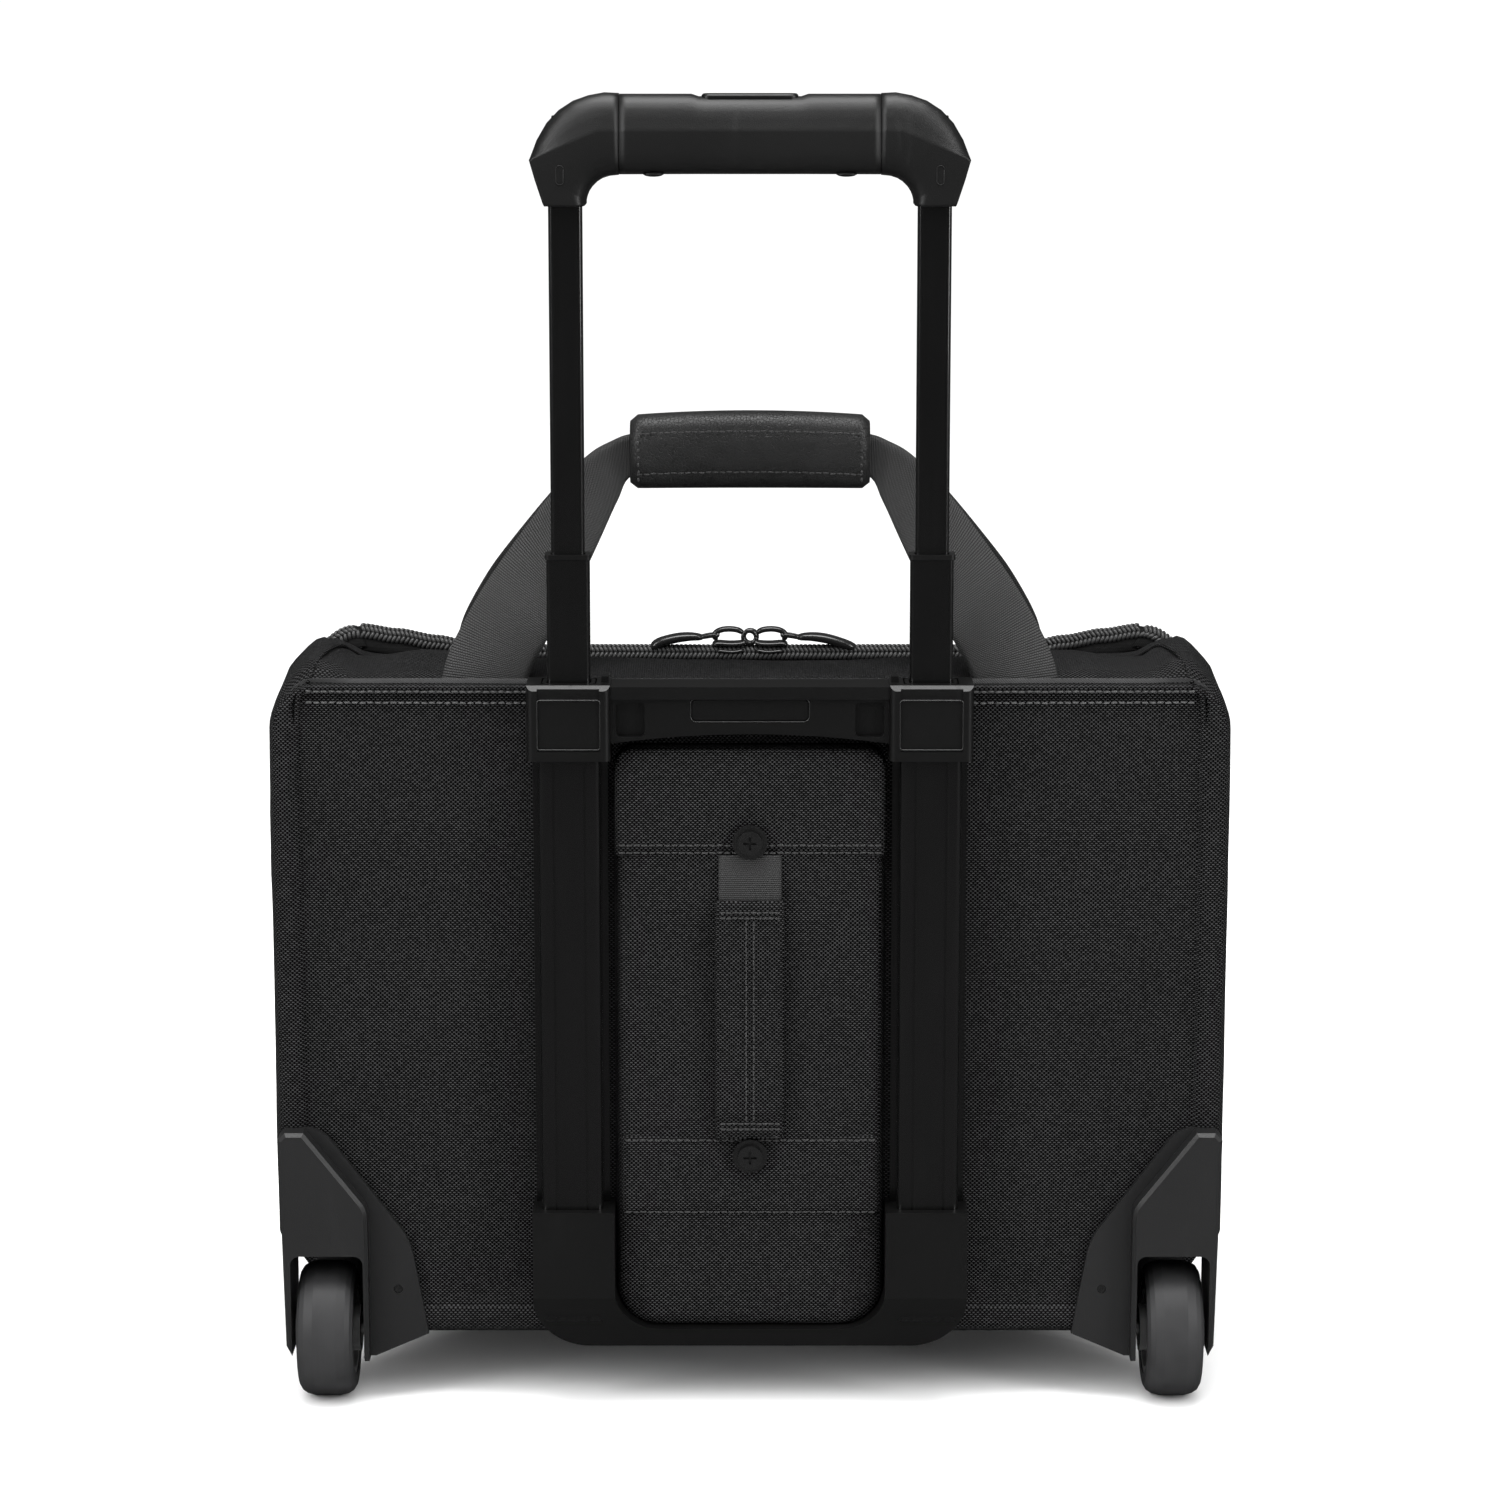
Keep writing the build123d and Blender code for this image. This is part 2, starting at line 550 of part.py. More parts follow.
def grip_elbow():
    """Right end of the grip: a rounded corner with the socket that the slim tube is fixed in."""
    outside, inside = TUBE_X + SOCKET_HALF_W, TUBE_X - SOCKET_HALF_W
    corner = ThreePointArc((GRIP_HALF_W, GRIP_WIDEST), (80.4, 553.2), (58.5, GRIP_TOP))
    bend = ThreePointArc((inside, SOCKET_BOTTOM + 1), (inside - 3.6, 525.0), (56, GRIP_UNDER))
    edge = Polyline((GRIP_SEAM_X, GRIP_UNDER), (GRIP_SEAM_X, GRIP_TOP - 1), (58.5, GRIP_TOP))
    foot = Polyline((GRIP_HALF_W, GRIP_WIDEST), (outside, SOCKET_BOTTOM), (inside, SOCKET_BOTTOM),
                    (inside, SOCKET_BOTTOM + 1))
    close = Polyline((56, GRIP_UNDER), (GRIP_SEAM_X, GRIP_UNDER))
    y0 = TUBE_Y - GRIP_DEPTH / 2
    solid = prism_xz(make_face([corner, bend, edge, foot, close]), y0, y0 + GRIP_DEPTH)
    width, depth = STAGE_SIZES[2]
    solid -= column(width, depth, 1.8, 0, STAGE_TOPS[2], TUBE_X)
    solid -= block(GRIP_SEAM_X - 1, 83, TUBE_Y - 7, TUBE_Y + 7, CORE_TOP - 2, CHANNEL_TOP)
    solid -= Pos(TUBE_X, TUBE_Y, STAGE_TOPS[2] + 1) * Cylinder(3.2, 8)
    slot = slab_xz(1.6, GRIP_WIDEST - 11, GRIP_WIDEST - 3, 1.5, y0 - 1, y0 + 0.8)
    return solid - Pos(TUBE_X + 3.5, 0, 0) * slot


def grip_cover():
    """Soft-touch middle of the grip, with the opening for the button."""
    y0 = TUBE_Y - GRIP_DEPTH / 2
    section = Plane.YZ.offset(-GRIP_SEAM_X) * Pos(TUBE_Y, (GRIP_UNDER + GRIP_TOP - 1) / 2) * \
        RectangleRounded(GRIP_DEPTH, GRIP_TOP - 1 - GRIP_UNDER, 7)
    solid = extrude(section, 2 * GRIP_SEAM_X)
    solid -= block(-60, 60, y0 + 4, y0 + GRIP_DEPTH - 4, GRIP_UNDER + 3, CHANNEL_TOP)
    opening = Pos(0, TUBE_Y, CHANNEL_TOP - 4) * RectangleRounded(2 * BUTTON_HALF_W + 0.8, 11.8, 4)
    return solid - extrude(opening, 30)


def grip_core():
    """Stiff bar inside the grip that carries the springs."""
    return block(-GRIP_SEAM_X, GRIP_SEAM_X, TUBE_Y - 7, TUBE_Y + 7, GRIP_UNDER + 3, CORE_TOP)


def release_button():
    """Button that unlocks the stages."""
    face = Pos(0, TUBE_Y, BAR_TOP) * RectangleRounded(2 * BUTTON_HALF_W, 11, 3.6)
    button = extrude(face, BUTTON_TOP - BAR_TOP)
    return fillet(button.faces().sort_by(Axis.Z)[-1].edges(), 1.2)


def actuator_bar():
    """Bar under the button that pushes both rods down."""
    return block(-81, 81, TUBE_Y - 4, TUBE_Y + 4, BAR_UNDER, BAR_TOP)


def push_rods():
    """Rods inside the slim tubes that trip the locks."""
    rod = Pos(TUBE_X, TUBE_Y, 0) * extrude(Pos(0, 0, 292) * Circle(1.6), BAR_UNDER - 292)
    return both(rod)


def button_springs():
    """Two coil springs that lift the button."""
    height = BAR_UNDER - CORE_TOP - 2 * SPRING_WIRE
    path = Helix(pitch=height / 5, height=height, radius=SPRING_R)
    start = Plane(origin=path @ 0, z_dir=path % 0)
    coil = sweep(start * Circle(SPRING_WIRE), path=path, is_frenet=True)
    return both(Pos(SPRING_X, TUBE_Y, CORE_TOP + SPRING_WIRE) * coil)


# ---- rear pad and grab handle -----------------------------------------------------------------------
def spine_pad():
    """Foam pad between the telescopic legs."""
    pad = slab_xz(PAD_HALF_W, PAD_BOTTOM, PAD_TOP, 8, REAR_Y - PAD_T, REAR_Y)
    lower = prism_xz(Pos(0, 100) * RectangleRounded(2 * PAD_HALF_W, 200 - 2 * PAD_BOTTOM, 19),
                     REAR_Y - PAD_T, REAR_Y)
    pad = (pad & block(-60, 60, -200, 0, 100, 300)) + (lower & block(-60, 60, -200, 0, 0, 100))
    for z in SCREW_Z:
        pad -= rod_y(SCREW_R, 0, z, REAR_Y - PAD_T - 1, REAR_Y - 3)
    return pad


def spine_screws():
    """Two cross-head screws and washers that hold the grab handle's ends."""
    pieces = []
    top = REAR_Y - PAD_T - 2.2
    for z in SCREW_Z:
        shank = rod_y(SCREW_R, 0, z, top, REAR_Y - 3)
        washer = rod_y(7.4, 0, z, top - 0.8, top)
        head = rod_y(5.2, 0, z, top - 3.2, top - 0.8)
        cross = block(-2.8, 2.8, top - 5, top - 2, z - 0.5, z + 0.5)
        cross += block(-0.5, 0.5, top - 5, top - 2, z - 2.8, z + 2.8)
        pieces.append(shank + washer + head - cross)
    return Compound(children=pieces)


def grab_strap_ends():
    """Fixed ends of the grab handle's webbing, under the washers."""
    pieces = []
    for z, z0, z1 in ((SCREW_Z[0], 104.0, 119.0), (SCREW_Z[1], STRAP_END_Z + 1.5, 260.0)):
        end = block(-GRAB_W / 2, GRAB_W / 2, REAR_Y - PAD_T - 2.2, REAR_Y - PAD_T, z0, z1)
        pieces.append(end - rod_y(SCREW_R, 0, z, -200, 0))
    return Compound(children=pieces)


SLEEVE_FRONT = -101.0
SLEEVE_REAR = -107.5


def grab_strap():
    """Moving part of the grab handle's webbing."""
    return block(-GRAB_W / 2, GRAB_W / 2, -105.4, -103, SLEEVE_Z[0] + 1, STRAP_END_Z)


def grab_sleeve():
    """Padded sleeve around the webbing."""
    face = Pos(0, (SLEEVE_REAR + SLEEVE_FRONT) / 2, SLEEVE_Z[0]) * \
        RectangleRounded(SLEEVE_W, SLEEVE_FRONT - SLEEVE_REAR, 2.5)
    sleeve = extrude(face, SLEEVE_Z[1] - SLEEVE_Z[0])
    return sleeve - block(-GRAB_W / 2, GRAB_W / 2, -105.4, -103, SLEEVE_Z[0] + 1, 300)


# ---- carry handle -----------------------------------------------------------------------------------
REAR_FOOT_Y = -82.0
FRONT_FOOT_Y = 22.0


def strap_outline():
    """Right half of a carry strap seen from behind: x across, y up from the foot."""
    return [(0, 106), (52, 102), (72, 89), (90, 72), (110, 48), (126, 24), (131, 0), (95, 0),
            (92, 22), (84, 38), (66, 61), (50, 80), (0, 86)]


def carry_strap(foot_y, top_y):
    """Carry strap that leans from its sewn feet to the wrap."""
    rise = WRAP_Z[1] - 8 - BODY_TOP
    lean = math.atan2(top_y - foot_y, rise)
    right = [(x, y / math.cos(lean)) for x, y in strap_outline()]
    points = right + [(-x, y) for x, y in reversed(right) if x]
    plane = Plane(origin=(0, foot_y, BODY_TOP), x_dir=(1, 0, 0),
                  z_dir=(0, -math.cos(lean), math.sin(lean)))
    strap = extrude(plane * outline(points), STRAP_T / 2, both=True)
    return strap & block(-200, 200, -200, 200, LEGS_START, 500)


def carry_straps():
    """Rear and front straps of the carry handle."""
    return carry_strap(REAR_FOOT_Y, WRAP_Y - 5), carry_strap(FRONT_FOOT_Y, WRAP_Y + 3)


def grip_wrap(straps):
    """Leather wrap that holds both straps together."""
    z_mid = (WRAP_Z[0] + WRAP_Z[1]) / 2
    section = Plane.YZ.offset(-WRAP_HALF_W) * Pos(WRAP_Y, z_mid) * \
        RectangleRounded(25, WRAP_Z[1] - WRAP_Z[0], 9)
    wrap = extrude(section, 2 * WRAP_HALF_W)
    for strap in straps:
        wrap -= strap
    return wrap


def wrap_snaps():
    """Two press studs on the wrap's front flap."""
    y = WRAP_Y + 12.5
    z = (WRAP_Z[0] + WRAP_Z[1]) / 2 + 1
    return both(rod_y(5.0, 30, z, y, y + 1.6))


def carry_strap_feet():
    """Sewn feet of the carry straps on the top panel."""
    pieces = []
    for y in (REAR_FOOT_Y, FRONT_FOOT_Y):
        for sign in SIDES.values():
            pieces.append(block(sign * 95, sign * 133, y - 4, y + 4, BODY_TOP, FEET_TOP))
    return Compound(children=pieces)


# ---- write every node -------------------------------------------------------------------------------
def main():
    os.makedirs("parts", exist_ok=True)
    save(rear_shell(), "rear_shell")
    save(back_board(), "back_board")
    save(bottom_board(), "bottom_board")
    save(zip_chain(SPLIT_Y - ZIP_TAPE, SPLIT_Y - ZIP_GAP / 2), "main_zip_rear_chain")
    save(zip_chain(SPLIT_Y + ZIP_GAP / 2, SPLIT_Y + ZIP_TAPE), "main_zip_front_chain")
    save(front_shell(), "front_shell")
    save(laptop_divider(), "laptop_divider")
    save(front_pocket(), "front_pocket")
    save(pocket_zip(), "front_pocket_zip")
    save(front_feet(), "front_feet")
    save(pocket_slider(), "pocket_zip_slider")
    save(pocket_puller(), "pocket_zip_puller")
    save(trolley_top_bracket(), "trolley_top_bracket")
    save(badge_plate(), "badge_plate")
    save(trolley_foot_bracket(), "trolley_foot_bracket")
    save(body_screws(), "body_screws")
    save(both(axle()), "wheel_axles")
    for side, sign in SIDES.items():
        save(side_copy(wheel_housing(), sign), f"wheel_housing_{side}")
        save(side_copy(tyre(), sign), f"tyre_{side}")
        save(side_copy(hub(), sign), f"hub_{side}")
        save(side_copy(bearings(), sign), f"bearings_{side}")
        save(side_copy(outer_profile(), sign), f"outer_profile_{side}")
        save(side_copy(grip_elbow(), sign), f"grip_elbow_{side}")
        save(side_copy(zip_slider(), sign), f"zip_slider_{side}")
        save(side_copy(zip_puller(), sign), f"zip_puller_{side}")
        for stage in range(3):
            save(side_copy(stage_tube(stage), sign), f"stage{stage + 1}_tube_{side}")
    for stage in range(3):
        save(both(lock_plug(stage)), f"stage{stage + 1}_lock_plugs")
    save(both(stage_cap(0, 0.0)), "stage1_caps")
    save(both(stage_cap(1, 0.6)), "stage2_caps")
    save(grip_cover(), "grip_cover")
    save(grip_core(), "grip_core")
    save(release_button(), "release_button")
    save(actuator_bar(), "actuator_bar")
    save(push_rods(), "push_rods")
    save(button_springs(), "button_springs")
    save(spine_pad(), "spine_pad")
    save(spine_screws(), "spine_screws")
    save(grab_strap_ends(), "grab_strap_ends")
    save(grab_strap(), "grab_strap")
    save(grab_sleeve(), "grab_sleeve")
    rear_strap, front_strap = carry_straps()
    save(rear_strap, "rear_carry_strap")
    save(front_strap, "front_carry_strap")
    save(grip_wrap((rear_strap, front_strap)), "grip_wrap")
    save(wrap_snaps(), "wrap_snaps")
    save(carry_strap_feet(), "carry_strap_feet")


main()
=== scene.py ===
import math

import bpy
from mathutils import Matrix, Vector, noise


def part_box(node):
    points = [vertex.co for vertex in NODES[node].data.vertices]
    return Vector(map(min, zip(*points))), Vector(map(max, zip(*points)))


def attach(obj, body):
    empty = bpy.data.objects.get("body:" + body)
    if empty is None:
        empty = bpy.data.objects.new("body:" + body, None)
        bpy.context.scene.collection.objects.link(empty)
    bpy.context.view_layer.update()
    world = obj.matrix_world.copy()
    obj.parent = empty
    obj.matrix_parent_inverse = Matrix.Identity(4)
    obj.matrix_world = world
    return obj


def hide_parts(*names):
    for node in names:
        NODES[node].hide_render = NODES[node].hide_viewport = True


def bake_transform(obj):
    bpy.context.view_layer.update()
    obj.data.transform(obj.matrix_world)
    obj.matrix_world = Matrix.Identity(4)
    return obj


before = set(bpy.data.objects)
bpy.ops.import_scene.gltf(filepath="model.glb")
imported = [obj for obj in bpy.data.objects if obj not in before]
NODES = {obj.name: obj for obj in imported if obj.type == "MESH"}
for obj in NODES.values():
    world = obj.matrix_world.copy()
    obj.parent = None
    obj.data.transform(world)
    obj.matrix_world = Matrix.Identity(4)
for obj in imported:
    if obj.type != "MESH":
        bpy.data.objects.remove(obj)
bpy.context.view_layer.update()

MM = 0.001
SCENE = bpy.context.scene


# ---- small maths --------------------------------------------------------------------------------
def lerp(a, b, t):
    return a + (b - a) * t


def ease(value, low, high):
    """0 below low, 1 above high, smooth between."""
    t = min(1.0, max(0.0, (value - low) / (high - low)))
    return t * t * (3 - 2 * t)


def along(value, keys):
    """Smooth interpolation through (position, value) keys."""
    if value <= keys[0][0]:
        return keys[0][1]
    for (x0, v0), (x1, v1) in zip(keys, keys[1:]):
        if value <= x1:
            return lerp(v0, v1, ease(value, x0, x1))
    return keys[-1][1]


def straight(value, keys):
    """Straight-line interpolation through (position, value) keys."""
    if value <= keys[0][0]:
        return keys[0][1]
    for (x0, v0), (x1, v1) in zip(keys, keys[1:]):
        if value <= x1:
            return lerp(v0, v1, (value - x0) / (x1 - x0))
    return keys[-1][1]


def catmull(points, steps):
    """Smooth curve through points, steps samples per span."""
    pts = [Vector(p) for p in points]
    ends = [2 * pts[0] - pts[1]] + pts + [2 * pts[-1] - pts[-2]]
    out = []
    for i in range(1, len(ends) - 2):
        a, b, c, d = ends[i - 1:i + 3]
        for k in range(steps):
            t = k / steps
            out.append(0.5 * (2 * b + (c - a) * t + (2 * a - 5 * b + 4 * c - d) * t * t
                              + (3 * b - a - 3 * c + d) * t ** 3))
    out.append(pts[-1])
    return out


def resample(points, pitch):
    """Points at an even pitch along a polyline, with their directions."""
    pts = [Vector(p) for p in points]
    total = sum((b - a).length for a, b in zip(pts, pts[1:]))
    count = max(1, int(round(total / pitch)))
    out, seg, done = [], 0, 0.0
    for i in range(count + 1):
        target = total * i / count
        while seg < len(pts) - 2 and done + (pts[seg + 1] - pts[seg]).length < target:
            done += (pts[seg + 1] - pts[seg]).length
            seg += 1
        d = pts[seg + 1] - pts[seg]
        t = (target - done) / max(d.length, 1e-9)
        out.append((pts[seg] + d * min(1.0, max(0.0, t)), d.normalized()))
    return out


# ---- mesh helpers (all take millimetres) ----------------------------------------------------------
def build(name, verts, faces, mats, ids=None, uv=None, smooth=True):
    mesh = bpy.data.meshes.new(name)
    mesh.from_pydata([Vector(v) * MM for v in verts], [], faces)
    for m in mats if isinstance(mats, (list, tuple)) else [mats]:
        mesh.materials.append(m)
    if ids:
        mesh.polygons.foreach_set("material_index", ids)
    mesh.polygons.foreach_set("use_smooth", [smooth] * len(mesh.polygons))
    if uv:
        layer = mesh.uv_layers.new(name="UVMap")
        layer.data.foreach_set("uv", [c * MM for loop in mesh.loops for c in uv[loop.vertex_index]])
    mesh.update()
    obj = bpy.data.objects.new(name, mesh)
    SCENE.collection.objects.link(obj)
    return obj


def grid(rows, cols, close_cols=False, close_rows=False, offset=0, flip=False):
    """Quads over a grid of rows by cols vertices."""
    faces = []
    for r in range(rows if close_rows else rows - 1):
        for c in range(cols if close_cols else cols - 1):
            a, b = r * cols + c, r * cols + (c + 1) % cols
            d, e = ((r + 1) % rows) * cols + c, ((r + 1) % rows) * cols + (c + 1) % cols
            quad = (a + offset, b + offset, e + offset, d + offset)
            faces.append(quad[::-1] if flip else quad)
    return faces


def loft(name, rings, mats, caps=True, **kw):
    """Closed rings joined into a skin, with fan caps at both ends."""
    n = len(rings[0])
    verts = [p for ring in rings for p in ring]
    faces = grid(len(rings), n, close_cols=True)
    if caps:
        for first, turn in ((0, True), ((len(rings) - 1) * n, False)):
            ring = list(range(first, first + n))
            faces.append(tuple(ring[::-1] if turn else ring))
    return build(name, verts, faces, mats, **kw)


def frames(points, up=None):
    """Tangent, side and up vectors along a path, without twist."""
    pts = [Vector(p) for p in points]
    out, side = [], None
    for i, p in enumerate(pts):
        t = (pts[min(i + 1, len(pts) - 1)] - pts[max(i - 1, 0)]).normalized()
        if side is None:
            ref = Vector(up) if up else (Vector((0, 0, 1)) if abs(t.z) < 0.9 else Vector((1, 0, 0)))
            side = t.cross(ref).normalized()
        side = (side - t * side.dot(t)).normalized()
        out.append((p, t, side, side.cross(t)))
    return out


def tube(name, points, radius, mat, sides=10, squash=1.0, up=None, caps=True):
    """Round or flattened bar along a path; radius may change along it."""
    rings = []
    fr = frames(points, up)
    for i, (p, _, side, above) in enumerate(fr):
        r = radius(i / (len(fr) - 1)) if callable(radius) else radius
        rings.append([p + side * r * math.cos(a) + above * r * squash * math.sin(a)
                      for a in (2 * math.pi * k / sides for k in range(sides))])
    return loft(name, rings, mat, caps=caps)


def apply_modifiers(obj):
    graph = bpy.context.evaluated_depsgraph_get()
    mesh = bpy.data.meshes.new_from_object(obj.evaluated_get(graph))
    obj.modifiers.clear()
    obj.data = mesh
    return obj


class Threads:
    """Collects stitches, which become one mesh per seam group."""

    def __init__(self):
        self.verts, self.faces = [], []

    def add(self, at, direction, normal, length, radius):
        side = direction.cross(normal).normalized()
        rise = side.cross(direction).normalized()
        base = len(self.verts)
        profile = ((-0.5, 0.35, -0.7), (-0.36, 0.9, 0.0), (0.0, 1.0, 0.35), (0.36, 0.9, 0.0), (0.5, 0.35, -0.7))
        for u, r, lift in profile:
            for k in range(6):
                a = 2 * math.pi * k / 6
                self.verts.append(at + direction * (u * length) + rise * (lift * radius + r * radius * math.sin(a))
                                  + side * (r * radius * math.cos(a)))
        rows = len(profile)
        self.faces += grid(rows, 6, close_cols=True, offset=base)
        self.faces.append(tuple(base + k for k in range(5, -1, -1)))
        self.faces.append(tuple(base + (rows - 1) * 6 + k for k in range(6)))

    def row(self, points, normal, pitch=3.2, length=2.5, radius=0.38):
        for i, (p, d) in enumerate(resample(points, pitch)):
            n = normal(p) if callable(normal) else Vector(normal)
            wobble = 0.10 * math.sin(i * 2.3)
            side = d.cross(n).normalized()
            self.add(p + side * wobble, (d + side * 0.05 * math.sin(i * 1.7)).normalized(), n, length, radius)

    def make(self, name, mat):
        return build(name, self.verts, self.faces, mat)


# ---- materials ------------------------------------------------------------------------------------
class Graph:
    """Short hand for a node material."""

    def __init__(self, name, **constants):
        self.mat = bpy.data.materials.new(name)
        self.mat.use_nodes = True
        self.tree = self.mat.node_tree
        self.bsdf = self.tree.nodes["Principled BSDF"]
        for key, value in constants.items():
            self.bsdf.inputs[key.replace("_", " ")].default_value = value

    def feed(self, socket, value):
        if isinstance(value, (int, float)):
            socket.default_value = value
        elif isinstance(value, tuple):
            socket.default_value = value if len(value) == len(socket.default_value) else value + (1.0,)
        else:
            self.tree.links.new(value, socket)

    def node(self, kind, **props):
        n = self.tree.nodes.new(kind)
        for key, value in props.items():
            setattr(n, key, value)
        return n

    def math(self, op, a, b=0.0, c=0.0):
        n = self.node("ShaderNodeMath", operation=op)
        for socket, value in zip(n.inputs, (a, b, c)):
            self.feed(socket, value)
        return n.outputs[0]

    def mix(self, factor, a, b):
        n = self.node("ShaderNodeMix", data_type="RGBA")
        for i, value in ((0, factor), (6, a), (7, b)):
            self.feed(n.inputs[i], value)
        return n.outputs[2]

    def smooth(self, value, low, high):
        n = self.node("ShaderNodeMapRange", interpolation_type="SMOOTHSTEP")
        for i, v in enumerate((value, low, high, 0.0, 1.0)):
            self.feed(n.inputs[i], v)
        return n.outputs[0]

    def coords(self, which="Object"):
        return self.node("ShaderNodeTexCoord").outputs[which]

    def split(self, vector):
        n = self.node("ShaderNodeSeparateXYZ")
        self.feed(n.inputs[0], vector)
        return n.outputs

    def join(self, x, y, z=0.0):
        n = self.node("ShaderNodeCombineXYZ")
        for socket, value in zip(n.inputs, (x, y, z)):
            self.feed(socket, value)
        return n.outputs[0]

    def noise(self, scale, detail=3.0, rough=0.5, vector=None, stretch=None):
        vector = vector if vector is not None else self.coords()
        if stretch:
            m = self.node("ShaderNodeMapping")
            self.feed(m.inputs["Vector"], vector)
            m.inputs["Scale"].default_value = stretch
            vector = m.outputs[0]
        n = self.node("ShaderNodeTexNoise")
        self.feed(n.inputs["Vector"], vector)
        for key, value in (("Scale", scale), ("Detail", detail), ("Roughness", rough)):
            n.inputs[key].default_value = value
        return n.outputs[0]

    def voronoi(self, scale, feature="F1", vector=None):
        n = self.node("ShaderNodeTexVoronoi", feature=feature)
        self.feed(n.inputs["Vector"], vector if vector is not None else self.coords())
        n.inputs["Scale"].default_value = scale
        return n.outputs["Distance"]

    def bump(self, height, distance, strength=1.0, normal=None):
        n = self.node("ShaderNodeBump")
        n.inputs["Strength"].default_value = strength
        n.inputs["Distance"].default_value = distance
        self.feed(n.inputs["Height"], height)
        if normal is not None:
            self.feed(n.inputs["Normal"], normal)
        return n.outputs[0]

    def finish(self, color=None, rough=None, normal=None):
        for key, value in (("Base Color", color), ("Roughness", rough), ("Normal", normal)):
            if value is not None:
                self.feed(self.bsdf.inputs[key], value)
        return self.mat

    def box_uv(self):
        """Flat coordinates picked by the direction that the surface faces."""
        x, y, z = self.split(self.coords())
        nx, ny, nz = [self.math("ABSOLUTE", s) for s in self.split(self.coords("Normal"))]
        is_x = self.math("MULTIPLY", self.math("GREATER_THAN", nx, ny), self.math("GREATER_THAN", nx, nz))
        is_z = self.math("MULTIPLY", self.math("GREATER_THAN", nz, ny),
                         self.math("SUBTRACT", 1.0, is_x))
        u = self.math("ADD", self.math("MULTIPLY", x, self.math("SUBTRACT", 1.0, is_x)),
                      self.math("MULTIPLY", y, is_x))
        v = self.math("ADD", self.math("MULTIPLY", z, self.math("SUBTRACT", 1.0, is_z)),
                      self.math("MULTIPLY", y, is_z))
        return u, v


def woven(name, dark, light, pitch=(1.9, 0.86), roughness=0.6, contrast=1.0, bump=0.0003, sheen=0.0, patch=0.35):
    """Ballistic weave: short floats in rows, every other row shifted half a float; the floats' lighter colour is
    painted highlight, light caught on their tops.
    """
    g = Graph(name, Sheen_Weight=sheen, Sheen_Roughness=0.45, Specular_IOR_Level=0.08)
    u, v = g.box_uv()
    warp = g.noise(60.0, 2.0)
    row = g.math("DIVIDE", g.math("ADD", v, g.math("MULTIPLY", warp, 0.0003)), pitch[1] * MM)
    index = g.math("FLOOR", row)
    odd = g.math("ABSOLUTE", g.math("MODULO", index, 2.0))
    col = g.math("ADD", g.math("DIVIDE", g.math("ADD", u, g.math("MULTIPLY", warp, 0.0004)), pitch[0] * MM),
                 g.math("MULTIPLY", odd, 0.5))
    fu = g.math("ABSOLUTE", g.math("SUBTRACT", g.math("FRACT", col), 0.5))
    fv = g.math("ABSOLUTE", g.math("SUBTRACT", g.math("FRACT", row), 0.5))
    spot_u = g.math("SUBTRACT", 1.0, g.smooth(fu, 0.18, 0.38))
    spot_v = g.math("SUBTRACT", 1.0, g.smooth(fv, 0.20, 0.42))
    float_shape_and_highlight = g.math("MULTIPLY", spot_u, spot_v)
    cell = g.join(g.math("FLOOR", col), index)
    white = g.node("ShaderNodeTexWhiteNoise", noise_dimensions="2D")
    g.feed(white.inputs["Vector"], cell)
    grain = g.math("MULTIPLY_ADD", white.outputs[0], 0.5, 0.6)
    area = g.math("MULTIPLY_ADD", g.noise(14.0, 4.0), patch, 1.0 - patch / 2)
    # Colour follows the float mask: painted highlight on the float tops, varied by random per-float grain and patch
    # tone.
    level = g.math("MULTIPLY", g.math("MULTIPLY", float_shape_and_highlight, grain), area)
    color = g.mix(g.math("MULTIPLY", level, contrast), dark, light)
    rough = g.math("MULTIPLY_ADD", float_shape_and_highlight, -0.14, roughness + 0.08)
    height = g.math("ADD", float_shape_and_highlight, g.math("MULTIPLY", g.noise(900.0, 2.0), 0.25))
    return g.finish(color, rough, g.bump(height, bump))


def webbing(name, dark, light, rib=0.85):
    """Tight ribs across the strap, with rounded selvedge cords; U runs along, V across."""
    g = Graph(name, Sheen_Weight=0.05, Sheen_Roughness=0.4, Specular_IOR_Level=0.3)
    u, v, _ = g.split(g.coords("UV"))
    wob = g.noise(220.0, 2.0)
    row = g.math("DIVIDE", g.math("ADD", u, g.math("MULTIPLY", wob, 0.0002)), rib * MM)
    fr = g.math("ABSOLUTE", g.math("SUBTRACT", g.math("FRACT", row), 0.5))
    rib_h = g.math("SUBTRACT", 1.0, g.smooth(fr, 0.18, 0.5))
    odd = g.math("ABSOLUTE", g.math("MODULO", g.math("FLOOR", row), 2.0))
    col = g.math("ADD", g.math("DIVIDE", v, 0.0011), g.math("MULTIPLY", odd, 0.5))
    fc = g.math("ABSOLUTE", g.math("SUBTRACT", g.math("FRACT", col), 0.5))
    float_h = g.math("SUBTRACT", 1.0, g.smooth(fc, 0.25, 0.5))
    level = g.math("MULTIPLY", rib_h, g.math("MULTIPLY_ADD", float_h, 0.55, 0.45))
    area = g.math("MULTIPLY_ADD", g.noise(30.0, 4.0), 0.5, 0.75)
    color = g.mix(g.math("MULTIPLY", level, area), dark, light)
    return g.finish(color, g.math("MULTIPLY_ADD", level, -0.15, 0.72), g.bump(level, 0.0003))


def leather(name, base, light):
    g = Graph(name, Specular_IOR_Level=0.45, Coat_Weight=0.12, Coat_Roughness=0.35)
    cells = g.voronoi(720.0, "DISTANCE_TO_EDGE")
    fold = g.noise(90.0, 5.0, 0.6)
    crease = g.smooth(cells, 0.0, 0.12)
    color = g.mix(g.math("MULTIPLY", crease, fold), base, light)
    rough = g.math("MULTIPLY_ADD", g.noise(40.0, 3.0), 0.22, 0.38)
    return g.finish(color, rough, g.bump(g.math("ADD", crease, g.math("MULTIPLY", fold, 1.3)), 0.00016))


